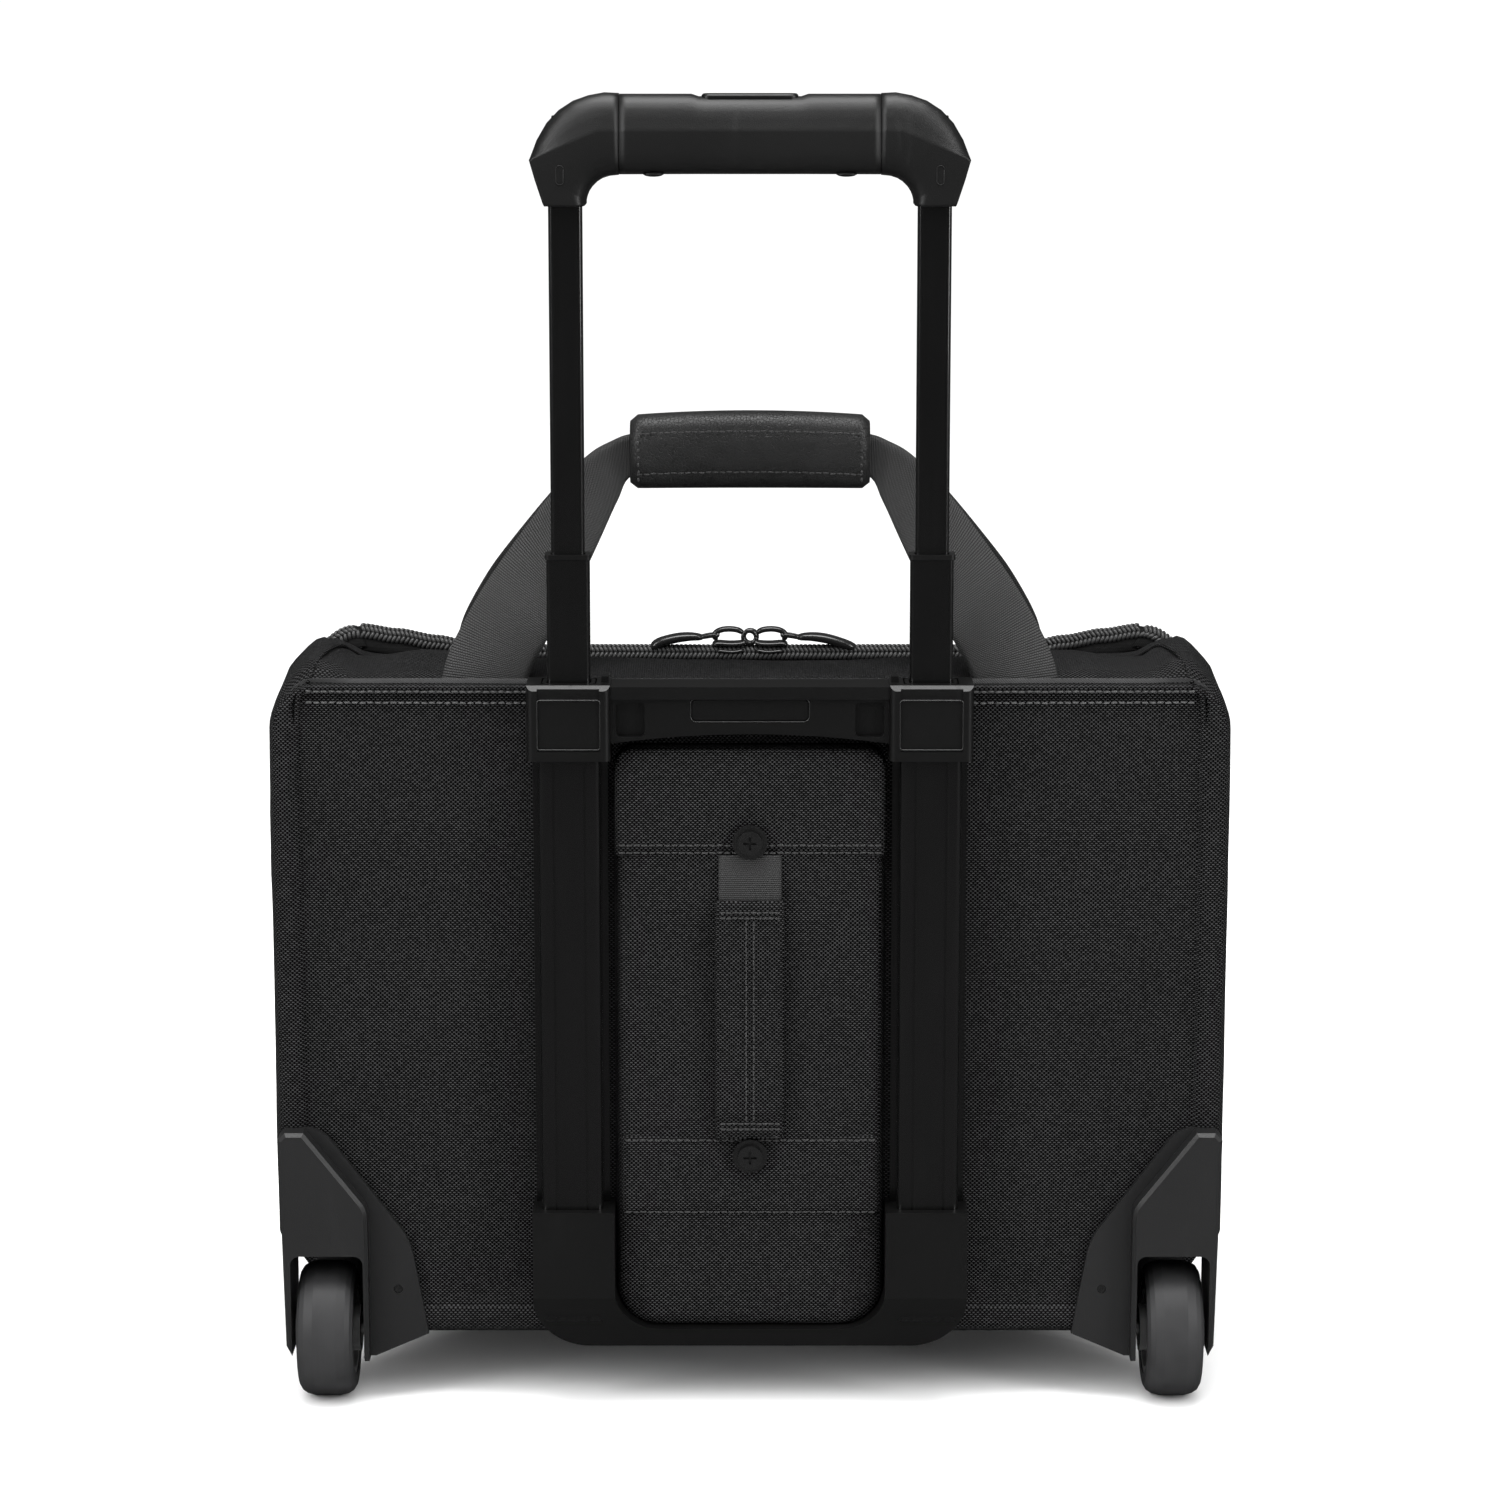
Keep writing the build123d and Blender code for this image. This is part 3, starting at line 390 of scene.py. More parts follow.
def plastic(name, base, light, roughness, grain=1400.0, depth=0.00006, coat=0.0, scuffs=0.35):
    """Moulded plastic: fine spark texture, slow colour drift and small scuffs."""
    g = Graph(name, Specular_IOR_Level=0.5, Coat_Weight=coat, Coat_Roughness=0.15)
    spark = g.noise(grain, 4.0, 0.6)
    drift = g.noise(9.0, 3.0)
    marks = g.smooth(g.noise(55.0, 6.0, 0.65, stretch=(1.0, 1.0, 0.25)), 0.60, 0.74)
    color = g.mix(g.math("ADD", g.math("MULTIPLY", drift, 0.7), g.math("MULTIPLY", marks, scuffs)), base, light)
    rough = g.math("ADD", g.math("MULTIPLY_ADD", drift, 0.10, roughness - 0.05), g.math("MULTIPLY", marks, 0.12))
    return g.finish(color, rough, g.bump(spark, depth))


def metal(name, base, roughness, brushed=(1.0, 1.0, 0.03), coat=0.0, metallic=1.0, light=None):
    """Drawn or brushed metal, with the grain along the piece."""
    g = Graph(name, Metallic=metallic, Coat_Weight=coat, Coat_Roughness=0.06, Specular_IOR_Level=0.5)
    lines = g.noise(500.0, 2.0, 0.5, stretch=brushed)
    haze = g.noise(22.0, 4.0, 0.6)
    color = g.mix(g.math("MULTIPLY", lines, haze), base, light or tuple(min(1.0, c * 1.5 + 0.01) for c in base))
    rough = g.math("ADD", g.math("MULTIPLY_ADD", lines, 0.02, roughness - 0.01), g.math("MULTIPLY", haze, 0.05))
    return g.finish(color, rough, g.bump(lines, 0.000004))


def thread(name, base):
    g = Graph(name, Sheen_Weight=0.2, Sheen_Roughness=0.5, Specular_IOR_Level=0.4)
    twist = g.math("SINE", g.math("MULTIPLY", g.noise(500.0, 2.0), 40.0))
    return g.finish(g.mix(twist, base, tuple(c * 1.7 for c in base)), 0.6, g.bump(twist, 0.00005))


def coil_plastic(name, base):
    g = Graph(name, Specular_IOR_Level=0.5)
    n = g.noise(300.0, 3.0)
    return g.finish(g.mix(n, base, tuple(c * 2.2 for c in base)), g.math("MULTIPLY_ADD", n, 0.2, 0.34),
                    g.bump(n, 0.00004))


def board_mat(name):
    g = Graph(name, Specular_IOR_Level=0.3)
    pebble = g.voronoi(420.0)
    return g.finish(g.mix(g.noise(40.0, 4.0), (0.012, 0.012, 0.013), (0.03, 0.03, 0.032)), 0.6,
                    g.bump(pebble, 0.0001))


def twill(name, dark, light):
    """Lining: fine diagonal twill."""
    g = Graph(name, Sheen_Weight=0.25, Sheen_Roughness=0.35, Specular_IOR_Level=0.35)
    u, v = g.box_uv()
    line = g.math("FRACT", g.math("DIVIDE", g.math("ADD", u, v), 0.0011))
    rib = g.smooth(g.math("ABSOLUTE", g.math("SUBTRACT", line, 0.5)), 0.1, 0.45)
    color = g.mix(g.math("MULTIPLY", rib, g.noise(35.0, 4.0)), dark, light)
    return g.finish(color, 0.55, g.bump(rib, 0.00012))


def rubber(name, base, light):
    """Tyre rubber: moulding haze, fine lines around and a dusty tread."""
    g = Graph(name, Specular_IOR_Level=0.4)
    dust = g.noise(60.0, 5.0, 0.65)
    rings = g.noise(700.0, 2.0, stretch=(1.0, 0.05, 0.05))
    color = g.mix(g.math("MULTIPLY", dust, 1.2), base, light)
    return g.finish(color, g.math("MULTIPLY_ADD", dust, 0.2, 0.42), g.bump(rings, 0.00006))


def grey(value, tint=0.0):
    return (value, value, value * (1 + tint))


M = {
    # The light colours of the three woven materials below are painted highlight on the weave floats.
    "fabric": woven("body_fabric", grey(0.0004), grey(0.042, 0.02)),
    "pad": woven("pad_fabric", grey(0.0004), grey(0.044, 0.02)),
    "lining": twill("lining", grey(0.03), grey(0.085, 0.03)),
    "tape": woven("zip_tape", grey(0.003), grey(0.012), pitch=(0.9, 0.6), bump=0.00015),
    "webbing": webbing("webbing", grey(0.002), grey(0.040)),
    "leather": leather("leather", grey(0.005), grey(0.018)),
    "thread": thread("thread", grey(0.014)),
    "thread_light": thread("thread_light", grey(0.045)),
    "coil": coil_plastic("zip_coil", grey(0.020)),
    "zip_metal": plastic("zip_metal", grey(0.006), grey(0.020), 0.24, coat=0.5),
    "profile": metal("profile_black", grey(0.0018), 0.22, metallic=0.0, coat=0.4, light=grey(0.004)),
    "moulding": plastic("moulding", grey(0.002), grey(0.005), 0.36),
    "crossbar": plastic("crossbar", grey(0.002), grey(0.006), 0.32),
    "grip": plastic("grip_soft", grey(0.0025), grey(0.006), 0.44, grain=2200.0, depth=0.00008),
    "board": board_mat("board"),
    "housing": plastic("housing", grey(0.009, 0.02), grey(0.016, 0.02), 0.38),
    "tyre": rubber("tyre", grey(0.013, 0.03), grey(0.030, 0.04)),
    "hub": plastic("hub", grey(0.05), grey(0.09), 0.4),
    "steel": metal("steel", grey(0.52), 0.28),
    "screw": plastic("screw_black", grey(0.004), grey(0.010), 0.24, coat=0.5),
    "rubber": rubber("foot_rubber", grey(0.012), grey(0.03)),
    "slot": plastic("grip_slot", grey(0.003), grey(0.006), 0.7),
}


def dress(mat, *names):
    """Gives CAD nodes their finish."""
    for name in names:
        obj = NODES[name]
        obj.data.materials.clear()
        obj.data.materials.append(M[mat])


BOTH = ("left", "right")
dress("board", "back_board", "bottom_board")
dress("housing", *[f"wheel_housing_{s}" for s in BOTH])
dress("tyre", *[f"tyre_{s}" for s in BOTH])
dress("hub", *[f"hub_{s}" for s in BOTH])
dress("steel", "wheel_axles", "button_springs", "push_rods", *[f"bearings_{s}" for s in BOTH])
dress("screw", "body_screws", "spine_screws")
dress("profile", *[f"outer_profile_{s}" for s in BOTH],
      *[f"stage{k}_tube_{s}" for k in (1, 2, 3) for s in BOTH])
dress("moulding", "trolley_foot_bracket", "stage1_lock_plugs", "stage2_lock_plugs", "stage3_lock_plugs",
      "stage1_caps", "stage2_caps", "actuator_bar", "grip_core", "release_button")
dress("crossbar", "trolley_top_bracket", "badge_plate")
dress("grip", "grip_cover", *[f"grip_elbow_{s}" for s in BOTH])
dress("zip_metal", "pocket_zip_slider", "pocket_zip_puller", *[f"{p}_{s}" for p in ("zip_slider", "zip_puller")
                                                               for s in BOTH], "wrap_snaps")
dress("rubber", "front_feet")
dress("webbing", "grab_strap_ends", "carry_strap_feet")


# ---- camera, light, floor ---------------------------------------------------------------------------
cam_data = bpy.data.cameras.new("camera")
cam_data.lens = 102.8
cam_data.sensor_width = 36.0
camera = bpy.data.objects.new("camera", cam_data)
camera.location = (0.0, -1.8639, 0.6320)
camera.rotation_euler = (math.radians(79.0), 0.0, 0.0)
SCENE.collection.objects.link(camera)
SCENE.camera = camera
SCENE.view_settings.view_transform = "Standard"

world = bpy.data.worlds.new("studio")
world.use_nodes = True
sky = world.node_tree.nodes["Background"]
sky.inputs[0].default_value = (1.0, 1.0, 1.0, 1.0)
path = world.node_tree.nodes.new("ShaderNodeLightPath")
level = world.node_tree.nodes.new("ShaderNodeMapRange")
level.inputs["To Min"].default_value = 0.55
level.inputs["To Max"].default_value = 0.05
world.node_tree.links.new(path.outputs["Is Glossy Ray"], level.inputs["Value"])
world.node_tree.links.new(level.outputs[0], sky.inputs[1])
SCENE.world = world

floor_mat = Graph("floor", Roughness=0.9, Specular_IOR_Level=0.0)
seen = floor_mat.node("ShaderNodeLightPath").outputs["Is Glossy Ray"]
floor_tone = floor_mat.mix(seen, (0.96, 0.96, 0.96, 1.0), (0.05, 0.05, 0.05, 1.0))
floor = build("floor", [(-60000, -60000, 0), (60000, -60000, 0), (60000, 60000, 0), (-60000, 60000, 0)],
              [(0, 1, 2, 3)], floor_mat.finish(floor_tone))


def area_light(name, at, target, size, power, size_y=None):
    data = bpy.data.lights.new(name, "AREA")
    data.shape = "RECTANGLE"
    data.size = size
    data.size_y = size_y or size
    data.energy = power
    obj = bpy.data.objects.new(name, data)
    obj.location = at
    obj.rotation_euler = (Vector(target) - Vector(at)).to_track_quat("-Z", "Y").to_euler()
    SCENE.collection.objects.link(obj)


sun = bpy.data.lights.new("sky", "SUN")
sun.energy = 2.0
sun.angle = math.radians(80)
sun_obj = bpy.data.objects.new("sky", sun)
sun_obj.rotation_euler = (math.radians(28), math.radians(-12), 0)
SCENE.collection.objects.link(sun_obj)
sun_obj.visible_glossy = False
area_light("key_left", (-1.5, -1.2, 1.2), (0, 0, 0.3), 0.5, 20, 1.6)
area_light("key_right", (1.5, -1.1, 1.0), (0, 0, 0.3), 0.4, 18, 1.6)
area_light("top", (0.0, -0.2, 1.9), (0, 0, 0.2), 1.3, 34)


# ---- body shape -------------------------------------------------------------------------------------
HALF_W, BOTTOM, TOP = 204.0, 28.0, 314.5
REAR, SPLIT, FRONT = -88.0, 40.0, 96.0
R_LOW, R_TOP = 45.0, 20.0

SWELL = ((-88, 0.0), (-60, 1.5), (-30, 3.5), (0, 6.0), (40, 8.0), (72, 5.5), (96, 0.5))
TOP_KEYS = (
    (-88, ((0, 0), (204, 0))),
    (-74, ((0, 1.5), (90, 2), (141, 4.5), (158, 3.5), (167, 3.5), (184, 9), (197, 5), (204, 1))),
    (-46, ((0, 3), (90, 4.5), (141, 7.5), (157, 5.5), (166, 4.5), (184, 13.5), (197, 8), (204, 1))),
    (-15, ((0, -2), (90, -1.5), (141, 2.5), (157, 0.5), (166, -1), (184, 8), (197, 4), (204, 0))),
    (12, ((0, -8), (90, -7), (141, -4), (157, -5), (166, -6), (184, 3), (197, 1.5), (204, 0))),
    (40, ((0, -12), (90, -10.5), (141, -8.5), (160, -7), (173, -6.5), (184, -4.5), (197, -3), (204, 0))),
    (62, ((0, -13.5), (140, -11), (184, -9), (204, -6))),
    (96, ((0, -17.5), (184, -17.0), (204, -22))),
)


def top_lift(x, y):
    """How far the top fabric stands above its flat level."""
    a = abs(x)
    values = [(depth, straight(a, keys) if depth in (-88, 96) else along(a, keys)) for depth, keys in TOP_KEYS]
    return along(y, values)


def shape(x, y, z):
    """Puts the slack and padding into a point of the body's plain outline."""
    side = ease(z, 30, 92) * (1 - ease(z, 258, 312))
    edge = ease(abs(x), 150, 204)
    swell = along(y, SWELL) * side * edge
    lift = top_lift(x, y)
    lift *= ease(z, 286, 313) if lift > 0 else ease(z, 226, 314)
    wrinkle = noise.noise(Vector((x, y * 1.3, z)) * 0.022) * 1.1 + noise.noise(Vector((x, y, z)) * 0.055) * 0.45
    calm = ease(y, -86, -60) * (1 - 0.7 * ease(y, 85, 96))
    out = 1 if x > 0 else -1
    side_out = swell + wrinkle * calm * edge * side
    return Vector((x + out * side_out, y, z + lift + wrinkle * calm * ease(z, 300, 314)))


def outline(inset=0.0, top_inset=None, steps=(14, 12, 34, 10, 52)):
    """Body outline seen from behind, anticlockwise from the bottom centre, as (x, z) points."""
    top_inset = inset if top_inset is None else top_inset
    w, lo, hi = HALF_W, BOTTOM, TOP
    half = []
    nb, nc, ns, nt, ntop = steps
    for k in range(nb):
        half.append((lerp(0, w - R_LOW, k / nb), lo, 0.0, -1.0))
    for k in range(nc):
        a = -math.pi / 2 + math.pi / 2 * k / nc
        half.append((w - R_LOW + R_LOW * math.cos(a), lo + R_LOW + R_LOW * math.sin(a), math.cos(a), math.sin(a)))
    for k in range(ns):
        half.append((w, lerp(lo + R_LOW, hi - R_TOP, k / ns), 1.0, 0.0))
    for k in range(nt):
        a = math.pi / 2 * k / nt
        half.append((w - R_TOP + R_TOP * math.cos(a), hi - R_TOP + R_TOP * math.sin(a), math.cos(a), math.sin(a)))
    for k in range(ntop // 2 + 1):
        half.append((lerp(w - R_TOP, 0, k / (ntop // 2)), hi, 0.0, 1.0))
    ring = half + [(-x, z, -nx, nz) for x, z, nx, nz in half[-2:0:-1]]
    out = []
    for x, z, nx, nz in ring:
        i = lerp(inset, top_inset, max(0.0, nz) ** 2)
        out.append((x - nx * i, z - nz * i))
    return out


def body_ring(y, inset=0.0, top_inset=None):
    return [shape(x, y, z) for x, z in outline(inset, top_inset)]


# Rear compartment: gusset rings, then the rear panel drawn in to the middle.
def panel_rings(y, sign, first_inset, count=9, dish=0.8):
    """Rings that close a flat panel, from its seam to the middle."""
    base = outline(first_inset, 1.5)
    rings = []
    zc = (BOTTOM + TOP) / 2
    for k in range(1, count + 1):
        s = 1 - (k / count) ** 1.2 * 0.985
        ring = []
        for x, z in base:
            px, pz = x * s, zc + (z - zc) * s
            bulge = dish * (1 - s) ** 0.5 + 0.5 * noise.noise(Vector((px, 7.0, pz)) * 0.03)
            ring.append(Vector((px, y + sign * bulge * min(1.0, (1 - s) * 12), pz)))
        rings.append(ring)
    return rings


rear_profile = [(14.0, 1.5, -86.6), (13.2, 1.0, -88.2), (11.0, 0.6, -89.6), (8.0, 0.2, -90.2), (5.0, 0.0, -89.6),
                (2.6, 0.0, -87.6), (1.0, 0.0, -84.0), (0.2, 0.0, -79.0), (0.0, 0.0, -72.0)]
rings = list(reversed(panel_rings(-87.0, -1, 14.0)))
for inset, top_in, y in rear_profile:
    ring = []
    for (x, z), (_, fz) in zip(outline(inset, top_in), outline(0.0)):
        up = max(0.0, (fz - (TOP - R_TOP)) / R_TOP)
        yy = lerp(y, min(-70.0, -88.2 + (y + 90.2) * 0.8), up ** 2)
        ring.append(shape(x, yy, z))
    rings.append(ring)
for k in range(1, 27):
    rings.append(body_ring(lerp(-72.0, SPLIT - 1.2, k / 26)))

n_ring = len(rings[0])
verts = [p for ring in rings for p in ring]
faces = grid(len(rings), n_ring, close_cols=True, flip=True)
faces.append(tuple(range(n_ring)))
rear_shell = build("rear_shell_fabric", verts, faces, [M["fabric"], M["lining"]])
skin = rear_shell.modifiers.new("thickness", "SOLIDIFY")
skin.thickness = 0.0036
skin.offset = -1.0
skin.material_offset = 1
skin.material_offset_rim = 0


def cutter(name, x0, x1, y0, y1, z0, z1):
    """Plain block that cuts an opening."""
    verts = [(x, y, z) for x in (x0, x1) for y in (y0, y1) for z in (z0, z1)]
    faces = [(0, 1, 3, 2), (4, 6, 7, 5), (0, 4, 5, 1), (2, 3, 7, 6), (0, 2, 6, 4), (1, 5, 7, 3)]
    return build(name, verts, faces, M["board"], smooth=False)


apply_modifiers(rear_shell)
for sign in (-1, 1):
    xs = sorted((sign * 161.0, sign * 240.0))
    tool = cutter("well_cut", xs[0], xs[1], -120.0, -43.5, -10.0, 73.0)
    cut = rear_shell.modifiers.new("well", "BOOLEAN")
    cut.operation = "DIFFERENCE"
    cut.object = tool
    cut.solver = "EXACT"
    apply_modifiers(rear_shell)
    bpy.data.objects.remove(tool)
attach(rear_shell, "case")
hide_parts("rear_shell")

# Folded hem along the rear panel's top, and the seams over the shoulders
for side, sign in (("left", -1), ("right", 1)):
    over = [Vector((sign * x, y, TOP + top_lift(x, y) + 0.2)) for x, y in
            ((186.5, -86), (185, -80), (182.5, -70), (179.5, -58), (176, -46), (172.5, -32), (169.5, -18), (167, -4))]
    seam = tube(f"shoulder_seam_{side}", catmull(over, 5), 0.95, M["fabric"], sides=8)
    down = [Vector((sign * x, y, z)) for x, y, z in
            ((186.0, -88.0, 313.6), (189.5, -88.0, 311.0), (191.0, -87.6, 305.0), (191.6, -87.4, 280.0),
             (191.8, -87.2, 180.0), (191.6, -87.2, 84.0))]
    gusset = tube(f"gusset_seam_{side}", catmull(down, 8), 1.15, M["fabric"], sides=8)
    for obj in (seam, gusset):
        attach(obj, "case")
hem = tube("rear_hem", [Vector((x, -88.6, 313.5)) for x in range(-186, 187, 6)], 1.25, M["fabric"], sides=10)
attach(hem, "case")

# Front compartment
front_profile = [(0.0, 0.0, 84.0), (0.6, 0.6, 88.5), (2.2, 2.2, 92.5), (5.0, 5.0, 95.3), (8.0, 8.0, 96.4),
                 (10.5, 10.5, 95.8), (11.6, 11.6, 94.6)]
rings = [body_ring(lerp(SPLIT + 1.2, 84.0, k / 12)) for k in range(12)]
for inset, top_in, y in front_profile:
    rings.append([shape(x, y, z) for x, z in outline(inset, top_in)])
base = rings[-1]
zc = (BOTTOM + TOP) / 2
for k in range(1, 10):
    s = 1 - (k / 9) ** 1.2 * 0.985
    rings.append([Vector((p.x * s, 94.8 + 1.6 * min(1.0, (1 - s) * 8), zc + (p.z - zc) * s)) for p in base])
verts = [p for ring in rings for p in ring]
faces = grid(len(rings), n_ring, close_cols=True, flip=True)
faces.append(tuple(range(len(verts) - 1, len(verts) - 1 - n_ring, -1)))
front_shell = build("front_shell_fabric", verts, faces, [M["fabric"], M["lining"]])
skin = front_shell.modifiers.new("thickness", "SOLIDIFY")
skin.thickness = 0.0036
skin.offset = -1.0
skin.material_offset = 1
skin.material_offset_rim = 0
apply_modifiers(front_shell)
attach(front_shell, "front_panel")
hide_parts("front_shell")

# Fabric hinge along the bottom of the split
rows = []
for k in range(9):
    t = k / 8
    y = lerp(SPLIT - 7, SPLIT + 7, t)
    rows.append([Vector((x, y, 27.2 - 0.5 * math.sin(math.pi * t))) for x in
                 (lerp(-156, 156, i / 40) for i in range(41))])
hinge = build("hinge_fabric", [p for r in rows for p in r], grid(9, 41, flip=True), M["fabric"])
thick = hinge.modifiers.new("thickness", "SOLIDIFY")
thick.thickness = 0.0012
thick.offset = 0.0
apply_modifiers(hinge)
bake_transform(hinge)


# ---- zippers ----------------------------------------------------------------------------------------
def chain(name, path, outward, across, side, body, tape_w=9.0, pitch=2.0, dome=3.9, tooth=(3.9, 0.88)):
    """One half of a coil zipper: domed tape, and two rows of slanted coil loops over the dome."""
    pts = resample(path, pitch)
    rows = [[] for _ in range(7)]
    for p, _ in pts:
        n, a = outward(p), across(p)
        for row, deg in zip(rows, (88, 66, 44, 22, 0)):
            r = dome - 0.35
            row.append(p + n * (r * math.sin(math.radians(deg))) + a * side * (r * math.cos(math.radians(deg))))
        rows[5].append(p + a * side * (dome + 0.9) - n * (dome * 0.30))
        rows[6].append(p + a * side * tape_w - n * (dome * 0.9))
    tape = build(name + "_tape", [p for r in rows for p in r], grid(7, len(pts), flip=side > 0), M["tape"])
    thick = tape.modifiers.new("thickness", "SOLIDIFY")
    thick.thickness = 0.0006
    thick.offset = 0.0
    apply_modifiers(tape)
    teeth = Threads()
    for p, d in pts:
        n, a = outward(p), across(p)
        for deg, lean in ((67, 0.62), (21, -0.62)):
            rad = math.radians(deg)
            out = n * math.sin(rad) + a * side * math.cos(rad)
            down = (a * side * math.sin(rad) - n * math.cos(rad) + d * lean).normalized()
            teeth.add(p + out * (dome - 0.1), down, out, tooth[0], tooth[1])
    row = teeth.make(name + "_coil", M["coil"])
    for obj in (tape, row):
        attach(obj, body)
    return tape, row


ZIP_TOP = ((0, 305.6), (90, 305.8), (118, 306.2), (132, 308.3), (140, 310.0), (160, 313.2), (174, 315.3))
corner = [(178.5, 315.2), (184.0, 312.6), (191.0, 306.5), (198.5, 297.0), (203.0, 284.0), (204.2, 270.0)]
side_run = [(204.0 if z > BOTTOM + R_LOW else HALF_W - R_LOW + math.sqrt(R_LOW ** 2 - (BOTTOM + R_LOW - z) ** 2), z)
            for z in range(62, 262, 12)]
top_half = [(float(x), along(x, ZIP_TOP)) for x in range(0, 175, 6)]
half = [Vector((x, SPLIT, z)) for x, z in top_half] + \
       [Vector((x, SPLIT, z)) for x, z in corner] + \
       [shape(x, SPLIT, z) for x, z in reversed(side_run)]
for i, p in enumerate(half):
    if 283 > p.z > 250:
        p.x = max(p.x, along(p.z, ((250, 210.5), (283, 204.2))))
zip_line = catmull([Vector((-p.x, p.y, p.z)) for p in half[:0:-1]] + half, 4)


def body_outward(p):
    """Outward direction of the zipper's dome, which leans back a little along the top."""
    if p.z > 300 and abs(p.x) < 176:
        return Vector((0, -0.35, 1)).normalized()
    cx = math.copysign(max(0.0, min(174.0, abs(p.x) - 22)), p.x)
    cz = min(292.0, max(BOTTOM + R_LOW, p.z))
    v = Vector((p.x - cx, 0, p.z - cz)).normalized()
    return (v + Vector((0, -0.35 * ease(p.z, 280, 312), 0))).normalized()


def zip_across(p):
    n = body_outward(p)
    a = Vector((0, 1, 0))
    return (a - n * a.dot(n)).normalized()


_, coil_r = chain("zip_rear", zip_line, body_outward, zip_across, -1, "case")
_, coil_f = chain("zip_front", zip_line, body_outward, zip_across, 1, "front_panel")
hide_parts("main_zip_rear_chain")
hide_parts("main_zip_front_chain")

# ---- front pocket -----------------------------------------------------------------------------------
PK_W, PK_LO, PK_HI = 182.0, 42.0, 262.0


def slab_outline(half_w, lo, hi, radius, n=8, side=16):
    """Rounded rectangle; the radius may be a pair, for the low and the high corners."""
    low, high = radius if isinstance(radius, tuple) else (radius, radius)
    pts = []
    for cx, cz, a0, radius in ((half_w - low, lo + low, -90, low), (half_w - high, hi - high, 0, high),
                               (-half_w + high, hi - high, 90, high), (-half_w + low, lo + low, 180, low)):
        for k in range(n + 1):
            a = math.radians(a0 + 90 * k / n)
            pts.append((cx + radius * math.cos(a), cz + radius * math.sin(a)))
    out = []
    for (x0, z0), (x1, z1) in zip(pts, pts[1:] + pts[:1]):
        d = math.hypot(x1 - x0, z1 - z0)
        m = max(1, int(d / side))
        out += [(lerp(x0, x1, k / m), lerp(z0, z1, k / m)) for k in range(m)]
    return out


def puffed(name, half_w, lo, hi, radius, y0, depth, mats, sign=1, crown=1.5, edge=5.0, fold=None, fine=8.0):
    """Padded slab on a vertical face: rounded border, crowned front, flat back."""
    base = slab_outline(half_w, lo, hi, radius, side=fine)
    zc = (lo + hi) / 2
    steps = [(0.0, 0.0), (0.2, 0.35), (0.8, 0.62), (2.0, 0.85), (edge, 0.98), (edge * 2, 1.03), (edge * 4, 1.06)]
    rings = []
    for inset, rise in steps:
        ring = []
        for x, z in base:
            k = 1 - inset / half_w
            kz = 1 - inset / ((hi - lo) / 2)
            px, pz = x * k, zc + (z - zc) * kz
            ring.append([px, pz, rise])
        rings.append(ring)
    last = rings[-1]
    for s in (0.8, 0.6, 0.42, 0.25, 0.1, 0.01):
        rings.append([[x * s, zc + (z - zc) * s, 1.06 + crown / depth * (1 - s)] for x, z, _ in last])
    verts = []
    for ring in rings:
        for x, z, rise in ring:
            extra = fold(x, z, rise) if fold else 0.0
            extra += 0.35 * noise.noise(Vector((x, 3.0, z)) * 0.035) * min(1.0, rise)
            verts.append(Vector((x, y0 + sign * (depth * rise + extra), z)))
    n = len(base)
    faces = grid(len(rings), n, close_cols=True, flip=sign > 0)
    faces.append(tuple(range(n) if sign > 0 else range(n - 1, -1, -1)))
    last_ring = range(len(verts) - n, len(verts))
    faces.append(tuple(reversed(last_ring)) if sign > 0 else tuple(last_ring))
    return build(name, verts, faces, mats)


def pocket_fold(x, z, rise):
    if rise < 0.9:
        return 0.0
    groove = math.exp(-((z - 236.0) / 5.0) ** 2) * (1 - ease(abs(x), 156, 166))
    return -3.2 * groove


pocket = puffed("front_pocket_fabric", PK_W, PK_LO, PK_HI, 16, FRONT - 1.0, 9.6, M["fabric"], crown=1.0,
                fold=pocket_fold, fine=4.0)
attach(pocket, "front_panel")
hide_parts("front_pocket")
pocket_line = [Vector((lerp(-160, 160, k / 60), 103.4, 236.0)) for k in range(61)]
for part, side in (("low", -1), ("high", 1)):
    _, coil = chain(f"pocket_zip_{part}", pocket_line, lambda p: Vector((0, 1, 0)), lambda p: Vector((0, 0, 1)), side,
                    "front_panel", tape_w=5.0, pitch=1.3, dome=2.0, tooth=(1.9, 0.5))
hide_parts("front_pocket_zip")
front_threads = Threads()
for inset in (4.0, 9.0):
    loop = slab_outline(PK_W - inset, PK_LO + inset, PK_HI - inset, 16 - inset / 2, side=6)
    seam_y = FRONT + 7.9 + (0.8 if inset > 5 else 0)
    front_threads.row([Vector((x, seam_y, z)) for x, z in loop + loop[:1]], (0, 1, 0))
for dz in (-7.0, 7.0):
    front_threads.row([Vector((lerp(-160, 160, k / 40), 104.4, 236.0 + dz)) for k in range(41)], (0, 1, 0))
seams = front_threads.make("front_stitches", M["thread"])
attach(seams, "front_panel")

# Laptop divider
divider = puffed("laptop_divider_pad", 198.0, 33.0, 277.0, 40.0, 56.2, 4.0, M["lining"], sign=1, crown=1.2, fine=10.0)
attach(divider, "front_panel")
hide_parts("laptop_divider")


# ---- rear pad and grab handle ------------------------------------------------------------------------
def spine_fold(x, z, rise):
    """Dimples under the screws."""
    if rise < 0.5:
        return 0.0
    return -sum(2.2 * math.exp(-((x * x + (z - sz) ** 2) / 130.0)) for sz in (113.0, 250.0))


pad = puffed("spine_pad_cover", 57.4, 34.8, 289.8, (17.0, 9.0), REAR, 11.0, M["pad"], sign=-1, crown=1.2, edge=4.0,
             fold=spine_fold, fine=2.5)
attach(pad, "case")
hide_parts("spine_pad")

